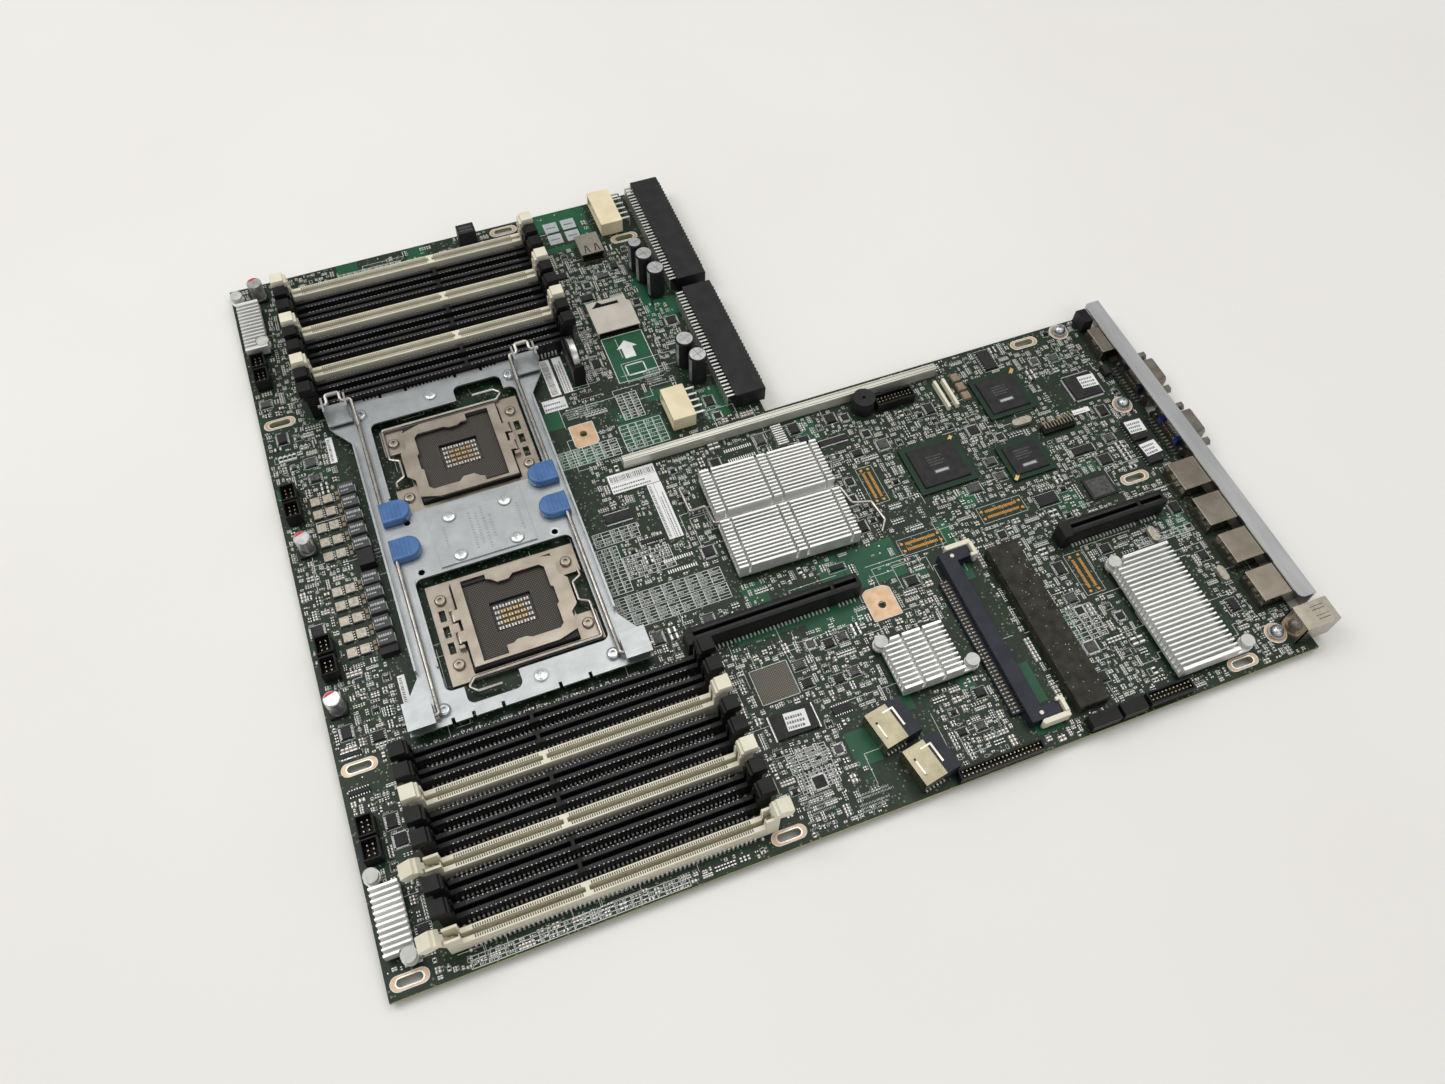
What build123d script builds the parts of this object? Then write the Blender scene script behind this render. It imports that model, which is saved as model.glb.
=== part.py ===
from build123d import *
import os

# A server system board: an L-shaped circuit board with two processor sockets, two banks of memory
# sockets, heatsinks, power connectors and a rear edge of ports behind a sheet-metal bracket.
#
# Working axes while building: X runs from the front edge to the rear edge, Y from the near edge to
# the far edge, and Z = 0 is the top face of the circuit board. Every part is shifted on writing, so
# that the origin is at the middle of the assembly's footprint, on the surface that it stands on.

# ---- driving dimensions, in millimetres ------------------------------------------------------

BOARD_LENGTH = 446.4
BOARD_DEPTH = 408.0
WIDE_LENGTH = 253.0
REAR_DEPTH = 223.4
BOARD_THICKNESS = 2.4
UNDERSIDE_DEPTH = 4.9
REAR_REACH = 464.8

# Memory sockets run along X at one pitch. The key is off centre and mirrored between the banks.
SOCKET_PITCH = 10.16
NEAR_BANK_FIRST = 94.0
FAR_BANK_FIRST = 385.3
SOCKETS_PER_BANK = 9
SOCKET_FRONT = 27.7
SOCKET_REAR = 171.2
SOCKET_WIDTH = 6.4
RAIL_HEIGHT = 9.4
TOWER_LENGTH = 6.5
TOWER_HEIGHT = 17.2
TOWER_GAP = 3.9
GROOVE_WIDTH = 2.0
GROOVE_DEPTH = 6.5
NEAR_KEY = 87.0
FAR_KEY = 111.9

# Memory latches turn about a pin low in each tower.
LATCH_PIN_IN = 4.2
LATCH_PIN_Z = 4.0
LATCH_PIN_RADIUS = 1.5
LATCH_STEM_WIDTH = 3.2
LATCH_HEAD = (8.3, 7.4, 5.0)
LATCH_HEAD_Z = 18.4
LATCH_OPEN = 27.5
LATCH_HALF_OPEN = 13.0

# Processor sockets and the spring-steel load mechanism over each.
CPU_X = 94.2
CPU_Y = (151.3, 250.5)
CPU_SOCKET = (50.0, 48.4, 4.8)
LOAD_FRAME = (73.4, 55.6, 2.2)
LOAD_SCREW = (31.1, 18.0)
LOAD_PLATE_Z = (4.9, 6.1)
LOAD_HINGE = (-27.2, 4.0)
LOAD_LEVER_X = 35.2
LOAD_LEVER_Z = 3.9
LOAD_WIRE_RADIUS = 0.9

# The zinc-plated frame that clamps both processor heatsinks.
FRAME_Z = (4.8, 6.0)
FRAME_END = (104.6, 300.2)
FRAME_RAIL_X = (43.5, 139.3)
FRAME_WINDOW_X = (54.3, 131.9)
FRAME_WINDOW_Y = ((120.2, 182.4), (221.0, 282.3))
FRAME_SCREW_X = (51.3, 130.8)
FRAME_SCREW_Y = (111.8, 289.3)
EAR_MIDDLE_X = (40.7, 141.8)
EAR_HALF_WIDTH = 6.3
SHEET = 1.0

# Clamp levers: bent wire with a blue grip, turning about a cranked end held in each ear.
LEVER_X = (49.1, 134.0)
LEVER_PIVOT_IN = 4.9
LEVER_PIVOT_Z = {"near": 9.7, "far": 15.0}
LEVER_WIRE_RADIUS = 1.1
LEVER_ARM_Z = 8.6
LEVER_BAIL = (3.5, 4.7, 1.8)
DECK_TOP = {"near": 12.2, "far": 8.5}
GRIP_Z = (6.4, 10.8)
GRIP_LENGTH = 14.6
GRIP_FROM = {"near": (193.8, 193.0), "far": (228.6, 225.6)}
GRIP_WIDTH = 12.2

# Rear ports. The network jacks sit in notches in the rear edge of the board.
BRACKET_WALL = (455.2, 456.2)
BRACKET_Z = (-UNDERSIDE_DEPTH, 9.8)
BRACKET_Y = (22.5, 224.3)
BRACKET_FLANGE_FROM = 447.0
JACK_Y = (36.1, 59.0, 81.9, 104.8, 199.4)
JACK_WIDTH = 17.2
JACK_FROM = (431.2, 431.2, 431.2, 431.2, 440.0)
JACK_NOTCH_FROM = (436.5, 436.5, 436.5, 436.5, 441.0)
JACK_TOP = 8.4
JACK_MOUTH = (11.8, 8.8, 12.0)
JACK_MOUTH_Z = 0.7
VIDEO_Y = 134.7
SERIAL_Y = 172.3
DSUB_FROM = 450.0
DSUB_Z = 1.9
DSUB_POST_SPACING = 25.0
USB_STACK = ((436.4, BRACKET_WALL[0]), (5.2, 18.2), (0.0, 14.6))

# Oblong tray slots through the board, all along X, as (x, y) of the middle.
SLOT_MIDDLES = (
    (9.7, 6.2), (174.8, 6.2), (407.4, 6.2), (9.6, 102.0), (416.6, 116.2),
    (10.2, 304.6), (407.3, 217.6), (158.5, 402.9), (224.0, 373.2),
)
SLOT_LENGTH = 11.0
SLOT_WIDTH = 3.6
PAD_HOLES = ((157.5, 242.7), (261.0, 94.3))
PAD_HOLE_RADIUS = 1.9
BOARD_SCREWS = ((430.0, 218.0), (436.2, 160.2), (431.3, 13.8))
SHANK_RADIUS = 1.7

# Heatsinks, as X range, Y range and top height.
CHIPSET_SINK = ((-31.8, 31.8), (-30.2, 30.2), 11.0)
CHIPSET_SINK_AT = (234.0, 160.7, -1.5)
STORAGE_SINK = ((248.6, 279.6), (46.6, 73.0), 10.0)
NETWORK_SINK = ((373.1, 404.4), (9.4, 73.0), 10.0)
SUPPLY_SINKS = (((2.8, 15.0), (15.8, 45.2), 8.0), ((2.8, 14.7), (353.0, 389.4), 8.0))
SINK_BASE = (2.2, 4.4)
FIN_THICKNESS = 0.9
PUSH_PINS = (
    (249.4, 73.5), (285.4, 50.2), (375.4, 72.6), (411.6, 13.1),
    (5.0, 50.3), (12.4, 13.8), (4.1, 396.3), (12.4, 358.0),
)
PUSH_PIN_RADIUS = 1.6
EAR_RADIUS = 3.6

# Power connectors at the edge of the wide half.
SUPPLY_X = (239.1, 256.0)
SUPPLY_Y = ((231.0, 314.6), (321.4, 405.5))
SUPPLY_HEIGHT = 10.3
SUPPLY_PINS = 32
SUPPLY_PIN_PITCH = 2.54
POWER_HEADERS = (((202.7, 215.4), (227.7, 249.8), 5), ((212.1, 225.3), (378.3, 406.8), 6))
POWER_HEADER_HEIGHT = 9.2
POWER_PIN_PITCH = 4.2

# Expansion slots, as X range of the housing, near side, end block and key position.
SLOT_HEIGHT = 11.2
SLOT_BODY_WIDTH = 7.5
RISER_SLOTS = (((166.6, 252.7), 102.4, (164.2, 166.6), 238.7), ((361.8, 417.2), 92.4, (357.8, 361.8), 402.5))

# Small tower and cylinder parts, as (x, y, radius, height).
TALL_CAPACITORS = (
    (227.1, 257.4, 5.0, 20.0), (224.4, 270.1, 5.0, 20.0), (227.1, 324.9, 5.0, 20.0),
    (224.7, 337.6, 5.0, 20.0), (222.7, 347.6, 4.0, 20.0),
)
CHIP_CAPACITORS = ((6.5, 132.2, 4.0, 12.5), (9.6, 221.0, 4.0, 12.5), (15.6, 397.6, 4.0, 12.5))
CHOKE_X = (30.6, 39.0)
CHOKE_Y = (158.3, 167.0, 175.9, 184.7, 192.9, 214.0, 222.7, 231.5, 240.2, 248.3)
CHOKE_LENGTH = 7.3
CHOKE_HEIGHT = 5.0
BUZZER = (302.5, 207.0, 6.0, 9.5)


# ---- helpers ---------------------------------------------------------------------------------


def block(x, y, z):
    """A box from its low and high limits along each axis."""
    size = [high - low for low, high in (x, y, z)]
    middle = [(high + low) / 2 for low, high in (x, y, z)]
    return Pos(*middle) * Box(*size)


def around(middle, half):
    """The limits half a width either side of a middle."""
    return (middle - half, middle + half)


def disc(x, y, z, radius):
    """An upright cylinder between two heights."""
    return Pos(x, y, (z[0] + z[1]) / 2) * Cylinder(radius, z[1] - z[0])


def pin_along_y(x, y, z, radius):
    """A cylinder lying along Y between two limits."""
    return Pos(x, (y[0] + y[1]) / 2, z) * Rot(X=90) * Cylinder(radius, y[1] - y[0])


def bent_wire(points, radius, bend):
    """A round wire through the points, with one inside bend radius."""
    path = FilletPolyline(*points, radius=bend)
    return sweep((path ^ 0) * Circle(radius), path=path)


def separate(pieces):
    """Several solids kept apart in one node."""
    return Compound([solid for piece in pieces for solid in piece.solids()])


def write(name, part):
    """Shift a part from the working axes to the assembly's origin and write it."""
    origin = Pos(-REAR_REACH / 2, -BOARD_DEPTH / 2, UNDERSIDE_DEPTH)
    export_step(origin * part, f"parts/{name}.step")


# ---- the circuit board -----------------------------------------------------------------------


def circuit_board():
    outline = Polyline(
        (0, 0), (BOARD_LENGTH, 0), (BOARD_LENGTH, REAR_DEPTH),
        (WIDE_LENGTH, REAR_DEPTH), (WIDE_LENGTH, BOARD_DEPTH), (0, BOARD_DEPTH), close=True,
    )
    plate = Pos(0, 0, -BOARD_THICKNESS) * extrude(make_face(outline), BOARD_THICKNESS)
    depth = (-BOARD_THICKNESS - 1, 1)
    cuts = [
        Pos(x, y, -BOARD_THICKNESS - 1) * extrude(SlotOverall(SLOT_LENGTH, SLOT_WIDTH), BOARD_THICKNESS + 2)
        for x, y in SLOT_MIDDLES
    ]
    cuts += [disc(x, y, depth, PAD_HOLE_RADIUS) for x, y in PAD_HOLES]
    screws = BOARD_SCREWS + frame_screw_places() + load_screw_places()
    cuts += [disc(x, y, depth, SHANK_RADIUS) for x, y in screws]
    cuts += [disc(x, y, depth, PUSH_PIN_RADIUS) for x, y in PUSH_PINS]
    cuts += [
        block((notch_from, BOARD_LENGTH + 1), around(y, JACK_WIDTH / 2 + 0.2), depth)
        for y, notch_from in zip(JACK_Y, JACK_NOTCH_FROM)
    ]
    return plate - cuts


# ---- memory sockets and latches --------------------------------------------------------------


def socket_rows(bank):
    """The middle of each socket in a bank, from the far side to the near side."""
    first = FAR_BANK_FIRST if bank == "far" else NEAR_BANK_FIRST
    return [first - number * SOCKET_PITCH for number in range(SOCKETS_PER_BANK)]


def is_white(bank, number):
    """Every third socket is ivory: the first of three in the far bank, the last in the near bank."""
    return number % 3 == (0 if bank == "far" else 2)


def memory_socket(y, key):
    """One socket housing: a grooved rail between two open towers."""
    half = SOCKET_WIDTH / 2
    rail = block((SOCKET_FRONT + TOWER_LENGTH, SOCKET_REAR - TOWER_LENGTH), around(y, half), (0, RAIL_HEIGHT))
    towers = [
        block((SOCKET_FRONT, SOCKET_FRONT + TOWER_LENGTH), around(y, half), (0, TOWER_HEIGHT)),
        block((SOCKET_REAR - TOWER_LENGTH, SOCKET_REAR), around(y, half), (0, TOWER_HEIGHT)),
    ]
    groove_z = (RAIL_HEIGHT - GROOVE_DEPTH, TOWER_HEIGHT + 1)
    groove_x = (SOCKET_FRONT + TOWER_LENGTH - 1.3, SOCKET_REAR - TOWER_LENGTH + 1.3)
    groove = block(groove_x, around(y, GROOVE_WIDTH / 2), groove_z)
    key_rib = block(around(key, 0.9), around(y, GROOVE_WIDTH / 2), (groove_z[0], RAIL_HEIGHT))
    pockets = [
        block((low - 1, low + TOWER_LENGTH - 0.4), around(y, TOWER_GAP / 2), (1.2, TOWER_HEIGHT + 1))
        if low == SOCKET_FRONT
        else block((low + 0.4, SOCKET_REAR + 1), around(y, TOWER_GAP / 2), (1.2, TOWER_HEIGHT + 1))
        for low in (SOCKET_FRONT, SOCKET_REAR - TOWER_LENGTH)
    ]
    return rail + towers - groove - pockets + key_rib


def memory_sockets(white):
    housings = []
    for bank, key in (("near", NEAR_KEY), ("far", FAR_KEY)):
        for number, y in enumerate(socket_rows(bank)):
            if is_white(bank, number) == white:
                housings.append(memory_socket(y, key))
    return separate(housings)


def latch(y, end, opened=0.0):
    """One latch: pin barrel, stem and finger pad, closed against the module and tilted by opened."""
    side = -1 if end == "front" else 1
    pin_x = SOCKET_FRONT + LATCH_PIN_IN if end == "front" else SOCKET_REAR - LATCH_PIN_IN
    stem = LATCH_STEM_WIDTH / 2
    head_length, head_width, head_height = LATCH_HEAD
    inner = pin_x - side * 1.8
    outer = inner + side * head_length
    head = block(
        (min(inner, outer), max(inner, outer)),
        around(y, head_width / 2),
        (LATCH_HEAD_Z, LATCH_HEAD_Z + head_height),
    )
    head = chamfer(head.edges().filter_by(Axis.Y).sort_by(Axis.Z)[-2:], 0.7)
    stem_x = (pin_x + side * 0.2, pin_x + side * 3.4)
    post = block((min(stem_x), max(stem_x)), around(y, stem), (LATCH_PIN_Z, LATCH_HEAD_Z + 0.5))
    barrel = pin_along_y(pin_x, around(y, stem), LATCH_PIN_Z, LATCH_PIN_RADIUS)
    body = head + post + barrel
    tilt = Pos(pin_x, 0, LATCH_PIN_Z) * Rot(Y=side * opened) * Pos(-pin_x, 0, -LATCH_PIN_Z)
    return tilt * body


def latches(bank, end, white):
    rows = [y for number, y in enumerate(socket_rows(bank)) if is_white(bank, number) == white]
    return separate([latch(y, end) for y in rows])


# ---- processor sockets and load mechanism ----------------------------------------------------


def at_cpu(number):
    """Where socket 1 or 2 is. The second one is turned end for end."""
    return Pos(CPU_X, CPU_Y[number - 1], 0) * Rot(Z=180 if number == 2 else 0)


def load_screw_places():
    return tuple(
        (CPU_X + sx * LOAD_SCREW[0], y + sy * LOAD_SCREW[1])
        for y in CPU_Y for sx in (-1, 1) for sy in (-1, 1)
    )


def cpu_socket(number):
    length, width, height = CPU_SOCKET
    body = block(around(0, length / 2), around(0, width / 2), (0, height))
    field = block(around(0, 21.5), around(0, 21.0), (3.6, height + 1))
    cavity = block(around(0, 9.9), around(0, 8.0), (1.6, height + 1))
    return at_cpu(number) * (body - field - cavity)


def load_frame(number):
    """The stamped frame round one socket, with slots on the hinge side and ears for the plate."""
    length, width, height = LOAD_FRAME
    ring = block(around(0, length / 2), around(0, width / 2), (0, height))
    ring -= block(around(0, CPU_SOCKET[0] / 2 + 0.4), around(0, CPU_SOCKET[1] / 2 + 0.4), (-1, height + 1))
    ring -= [block((-33.6, -30.6), around(y, 3.0), (-1, height + 1)) for y in (-8.2, 0.8, 9.8)]
    ring -= [block((27.5, 38), around(0, 11.5), (-1, height + 1))]
    corners = [(sx * LOAD_SCREW[0], sy * LOAD_SCREW[1]) for sx in (-1, 1) for sy in (-1, 1)]
    ring -= [disc(x, y, (-1, 5), SHANK_RADIUS) for x, y in corners]
    ears = [
        block((-28.8, -25.9), limits, (height, 5.0)) for limits in ((-11.4, -9.4), (-2.6, 2.6), (9.4, 11.4))
    ]
    return at_cpu(number) * (ring + ears)


def load_plate(number):
    """The plate that presses the processor down: bars round a window, a nose and two knuckles."""
    outer = Polyline(
        (-24.5, -23.4), (16, -23.4), (25.6, -20.5), (25.6, -11), (29.1, -7.5), (29.1, 7.5),
        (25.6, 11), (25.6, 21.6), (16, 24.5), (-24.5, 24.5), close=True,
    )
    window = Polyline(
        (-19.8, -21.9), (-7.9, -21.9), (-7.9, -17.5), (-4.5, -17.5),
        (-2.5, -16.2), (2.0, -16.2), (4.5, -17.5),
        (18.2, -17.5), (20.2, -15.5), (20.2, -5), (21.4, -4), (21.4, 5), (20.2, 6), (20.2, 17),
        (18.2, 19.1), (5, 19.1), (2.5, 16.8), (-3.0, 16.8), (-5.5, 19.1), (-7.9, 20.2), (-7.9, 22.9),
        (-19.8, 22.9), close=True,
    )
    thickness = LOAD_PLATE_Z[1] - LOAD_PLATE_Z[0]
    sheet = extrude(make_face(outer), thickness) - extrude(make_face(window), thickness)
    plate = Pos(0, 0, LOAD_PLATE_Z[0]) * sheet
    for low, high in ((-8.9, -3.1), (3.1, 8.9)):
        plate += block((LOAD_HINGE[0], -24), (low, high), LOAD_PLATE_Z)
        plate += pin_along_y(LOAD_HINGE[0], (low, high), LOAD_HINGE[1], 1.4)
    return at_cpu(number) * plate


def load_lever(number):
    """The load wire: a J hook, the long arm, then the axle with its crank over the plate's nose."""
    z = LOAD_LEVER_Z
    points = [
        (-14.9, -34.3, z), (-26.2, -34.3, z), (-29.6, -31.0, z), (-26.2, -27.3, z), (LOAD_LEVER_X, -27.3, z),
        (LOAD_LEVER_X, -7.6, z), (LOAD_LEVER_X - 4.5, -5.2, z), (LOAD_LEVER_X - 4.5, 5.2, z),
        (LOAD_LEVER_X, 7.6, z), (LOAD_LEVER_X, 10.8, z),
    ]
    return at_cpu(number) * bent_wire(points, LOAD_WIRE_RADIUS, 1.3)


def backplates():
    """The steel plates under the sockets, which the socket screws hold."""
    plates = []
    for y in CPU_Y:
        plate = block(around(CPU_X, 48), around(y, 42.5), (-UNDERSIDE_DEPTH, -BOARD_THICKNESS))
        plate = fillet(plate.edges().filter_by(Axis.Z), 6)
        plates.append(plate)
    screws = load_screw_places() + frame_screw_places()
    holes = [disc(x, y, (-UNDERSIDE_DEPTH - 1, 0), SHANK_RADIUS) for x, y in screws]
    holes += [block(around(CPU_X, 14), around(y, 12), (-UNDERSIDE_DEPTH - 1, 0)) for y in CPU_Y]
    return separate([plate - holes for plate in plates])


def screw(x, y, seat, head_radius, head_height, tip):
    """A pan-head screw with a star recess, its head on seat and its shank down to tip."""
    head = disc(x, y, (seat, seat + head_height), head_radius)
    head = fillet(head.edges().sort_by(Axis.Z)[-1], head_height * 0.6)
    recess = disc(x, y, (seat + head_height - 1.0, seat + head_height + 1), head_radius * 0.36)
    return head + disc(x, y, (tip, seat), SHANK_RADIUS) - recess


def socket_screws():
    tip = -UNDERSIDE_DEPTH + 0.4
    return separate([screw(x, y, LOAD_FRAME[2], 2.9, 1.8, tip) for x, y in load_screw_places()])


# ---- heatsink clamp frame --------------------------------------------------------------------


def frame_screw_places():
    return tuple((x, y) for x in FRAME_SCREW_X for y in FRAME_SCREW_Y)


def mirrored_y(y):
    """The same distance from the other end of the clamp frame."""
    return FRAME_END[0] + FRAME_END[1] - y


def frame_outline():
    """The frame's blank: straight rails that flare out to an ear at each corner."""
    ear = (EAR_MIDDLE_X[0] - EAR_HALF_WIDTH, EAR_MIDDLE_X[1] + EAR_HALF_WIDTH)
    low, high = FRAME_END
    near = [(ear[0], low), (ear[1], low), (ear[1], low + 13.5), (FRAME_RAIL_X[1], low + 27)]
    far = [(FRAME_RAIL_X[1], high - 27), (ear[1], high - 13.5), (ear[1], high), (ear[0], high)]
    rail = FRAME_RAIL_X[0]
    left = [(ear[0], high - 13.5), (rail, high - 27), (rail, low + 27), (ear[0], low + 13.5)]
    return Polyline(*near, *far, *left, close=True)


def frame_windows():
    """Both windows, each with a bay for the hooked end of the load lever."""
    through = (FRAME_Z[0] - 1, FRAME_Z[1] + 3)
    cuts = []
    for limits in FRAME_WINDOW_Y:
        window = block(FRAME_WINDOW_X, limits, through)
        cuts.append(fillet(window.edges().filter_by(Axis.Z), 3.5))
    near_bay = block((62.5, 88.0), (110.9, FRAME_WINDOW_Y[0][0] + 1), through)
    far_bay = block((100.4, 125.9), (FRAME_WINDOW_Y[1][1] - 1, 292.0), through)
    cuts.append(fillet(near_bay.edges().filter_by(Axis.Z).sort_by(Axis.Y)[:2], 3.5))
    cuts.append(fillet(far_bay.edges().filter_by(Axis.Z).sort_by(Axis.Y)[-2:], 3.5))
    return cuts


def frame_edge_cuts():
    """Bend reliefs at both ends and the fine comb along the far end."""
    through = (FRAME_Z[0] - 1, FRAME_Z[1] + 1)
    near_y = (FRAME_END[0] - 1, FRAME_END[0] + 2.6)
    far_y = (FRAME_END[1] - 2.2, FRAME_END[1] + 1)
    cuts = [block(around(x, 0.8), near_y, through) for x in (54, 63.4, 77, 103.8, 118)]
    cuts += [block(around(x, 0.8), far_y, through) for x in (63.4, 77, 103.8, 118)]
    for start, count in ((55.0, 4), (79.0, 12), (120.0, 4)):
        for tooth in range(count):
            comb_y = (FRAME_END[1] - 1.0, FRAME_END[1] + 1)
            cuts.append(block(around(start + tooth * 2.0, 0.5), comb_y, through))
    return cuts


def frame_ear(x, end):
    """The raised bracket at one corner: a deck on two cheeks that carry the lever's axle.

    The near ears cover the axle. The far ears are lower, with the axle and its bail above them.
    """
    outward = -1 if end == "near" else 1
    edge = FRAME_END[0] if end == "near" else FRAME_END[1]

    def span(inner, outer):
        return tuple(sorted((edge - outward * inner, edge - outward * outer)))

    top = FRAME_Z[1]
    deck_top = DECK_TOP[end]
    pivot_z = LEVER_PIVOT_Z[end]
    outer_x = around(x, EAR_HALF_WIDTH)
    ear = block(outer_x, span(0, 14.0), (deck_top - SHEET, deck_top))
    if end == "near":
        ear += block(outer_x, span(0, SHEET), (deck_top - 1.3, deck_top))
        cheek_top = deck_top
    else:
        ear += block(outer_x, span(0, SHEET), (0.4, deck_top))
        cheek_top = pivot_z + 2.6
    for cheek_x in ((outer_x[0], outer_x[0] + SHEET), (outer_x[1] - SHEET, outer_x[1])):
        ear += block(cheek_x, span(1.6, 11.0), (top, cheek_top))
    axle_y = edge - outward * LEVER_PIVOT_IN
    return ear - Pos(x, axle_y, pivot_z) * Rot(Y=90) * Cylinder(LEVER_WIRE_RADIUS + 0.3, 3 * EAR_HALF_WIDTH)


def clamp_frame():
    thickness = FRAME_Z[1] - FRAME_Z[0]
    top = FRAME_Z[1]
    plate = Pos(0, 0, FRAME_Z[0]) * extrude(make_face(frame_outline()), thickness)
    bridge = (FRAME_WINDOW_Y[0][1] + 2, FRAME_WINDOW_Y[1][0] - 2)
    plate += block((68.3, 116.0), bridge, (top, top + SHEET))
    rail_y = (FRAME_END[0] + 29, FRAME_END[1] - 29)
    plate += block((FRAME_RAIL_X[0], FRAME_RAIL_X[0] + SHEET), rail_y, (top, top + 4.0))
    plate += block((FRAME_RAIL_X[1] - SHEET, FRAME_RAIL_X[1]), rail_y, (top, top + 4.0))
    for low, high in ((rail_y[0], FRAME_WINDOW_Y[0][1]), (FRAME_WINDOW_Y[1][0] + 11, rail_y[1])):
        plate += block((FRAME_WINDOW_X[0] - SHEET, FRAME_WINDOW_X[0]), (low, high), (top, top + 1.6))
    plate += [frame_ear(x, end) for x in EAR_MIDDLE_X for end in ("near", "far")]
    for x in (78.8, 107.0):
        plate += [disc(x, y, (top, top + SHEET + 0.7), 3.3) for y in (bridge[0] + 4.0, bridge[1] - 7.3)]
    plate += [disc(96.8, 113.2, (top, top + 0.7), 2.9), disc(88.4, 290.6, (top, top + 0.7), 3.0)]
    plate += [disc(x, y, (0, FRAME_Z[0]), 3.6) for x, y in frame_screw_places()]
    plate -= frame_windows() + frame_edge_cuts()
    plate -= [disc(x, y, (-1, top + 1), SHANK_RADIUS) for x, y in frame_screw_places()]
    bridge_holes = [(x, y) for x in (58.6, 125.1) for y in (bridge[0] + 1.3, bridge[1] - 3.2)]
    plate -= [disc(x, y, (0, top + 1), 1.6) for x, y in bridge_holes]
    return plate


def clamp_lever(side, end):
    """The bent wire of one lever: axle stub, bail on the far levers, then the arm along the rail."""
    number = 0 if side == "front" else 1
    out = -1 if side == "front" else 1
    middle = EAR_MIDDLE_X[number]
    z = LEVER_PIVOT_Z[end]
    pivot = FRAME_END[0] + LEVER_PIVOT_IN if end == "near" else FRAME_END[1] - LEVER_PIVOT_IN
    away = -1 if end == "near" else 1
    points = [(middle + out * (EAR_HALF_WIDTH + 1.8), pivot, z)]
    if end == "far":
        half, reach, rise = LEVER_BAIL
        points += [
            (middle + out * half, pivot, z),
            (middle + out * half, pivot + away * reach, z + rise),
            (middle - out * half, pivot + away * reach, z + rise),
            (middle - out * half, pivot, z),
        ]
    arm_x = LEVER_X[number]
    points += [(arm_x, pivot, z), (arm_x, pivot - away * 13, LEVER_ARM_Z)]
    points += [(arm_x, GRIP_FROM[end][number], LEVER_ARM_Z)]
    return bent_wire(points, LEVER_WIRE_RADIUS, 1.3)


def lever_grip(side, end):
    """The blue finger grip: square where the wire enters and round towards the middle."""
    number = 0 if side == "front" else 1
    start = GRIP_FROM[end][number]
    middle_y = start + GRIP_WIDTH / 2 if end == "near" else start - GRIP_WIDTH / 2
    outer_x = LEVER_X[number] + (-1.6 if side == "front" else 2.2)
    inward = 1 if side == "front" else -1
    round_x = outer_x + inward * (GRIP_LENGTH - GRIP_WIDTH / 2)
    pad = block(sorted((outer_x, round_x)), around(middle_y, GRIP_WIDTH / 2), GRIP_Z)
    pad += disc(round_x, middle_y, GRIP_Z, GRIP_WIDTH / 2)
    return fillet(pad.edges().group_by(Axis.Z)[-1], 1.2)


def panel_screws():
    """The screws at the clamp frame's corners and the three domed ones along the rear edge."""
    pieces = [screw(x, y, FRAME_Z[1], 3.2, 2.2, -UNDERSIDE_DEPTH + 0.5) for x, y in frame_screw_places()]
    pieces += [screw(x, y, 0.0, 3.3, 4.2, -UNDERSIDE_DEPTH + 0.5) for x, y in BOARD_SCREWS]
    return separate(pieces)


# ---- heatsinks -------------------------------------------------------------------------------


def finned(x, y, top, pitch, cross_cuts=(), cross_width=1.4):
    """A heatsink with fins along X, cut across at the given X places."""
    base_low, base_high = SINK_BASE
    body = block(x, y, (base_low, top))
    count = int((y[1] - y[0] - FIN_THICKNESS) / pitch)
    first = y[0] + (y[1] - y[0] - count * pitch - FIN_THICKNESS) / 2 + FIN_THICKNESS
    grooves = [
        block((x[0] - 1, x[1] + 1), (first + number * pitch, first + (number + 1) * pitch - FIN_THICKNESS),
              (base_high, top + 1))
        for number in range(count)
    ]
    across = (y[0] - 1, y[1] + 1)
    deep = (base_high, top + 1)
    grooves += [block(around(place, cross_width / 2), across, deep) for place in cross_cuts]
    return body - grooves


def with_ears(sink, pins):
    """Add a drilled lug to the heatsink's base for each push pin, and clear the fins round it."""
    for (x, y), (to_x, to_y) in pins:
        lug = disc(x, y, SINK_BASE, EAR_RADIUS)
        lug += block(sorted((x, to_x)), sorted((y, to_y)), SINK_BASE)
        sink = sink + lug
    for (x, y), _ in pins:
        sink = sink - disc(x, y, (0, SINK_BASE[1] + 1), PUSH_PIN_RADIUS)
        sink = sink - disc(x, y, (SINK_BASE[1], SINK_BASE[1] + 20), EAR_RADIUS + 0.3)
    return sink


def chipset_heatsink():
    x, y, top = CHIPSET_SINK
    sink = finned(x, y, top, 2.1, (-26.2, -1.6, 4.2, 27.4), 1.3)
    sink -= block((x[0] - 1, x[1] + 1), (-1.5, 3.5), (SINK_BASE[1] + 0.4, top + 1))
    middle_x, middle_y, turn = CHIPSET_SINK_AT
    return Pos(middle_x, middle_y, 0) * Rot(Z=turn) * sink


def heatsink_clip():
    """The spring wire that crosses the chipset heatsink and hooks down on both sides."""
    points = [
        (192.0, 190.5, 2.6), (192.4, 175.6, 2.6), (200.2, 175.0, 4.2), (200.6, 162.9, 5.8),
        (268.0, 161.0, 5.8), (270.4, 151.0, 4.4), (280.4, 149.0, 3.0),
        (282.4, 137.0, 2.6), (278.0, 131.0, 2.2),
    ]
    return bent_wire(points, 0.8, 1.2)


def storage_heatsink():
    x, y, top = STORAGE_SINK
    sink = finned(x, y, top, 2.45, (258.6, 269.2))
    pins = ((PUSH_PINS[0], (x[0] + 3, y[1] - 4)), (PUSH_PINS[1], (x[1] - 2, y[0] + 0.2)))
    return with_ears(sink, pins)


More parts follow.
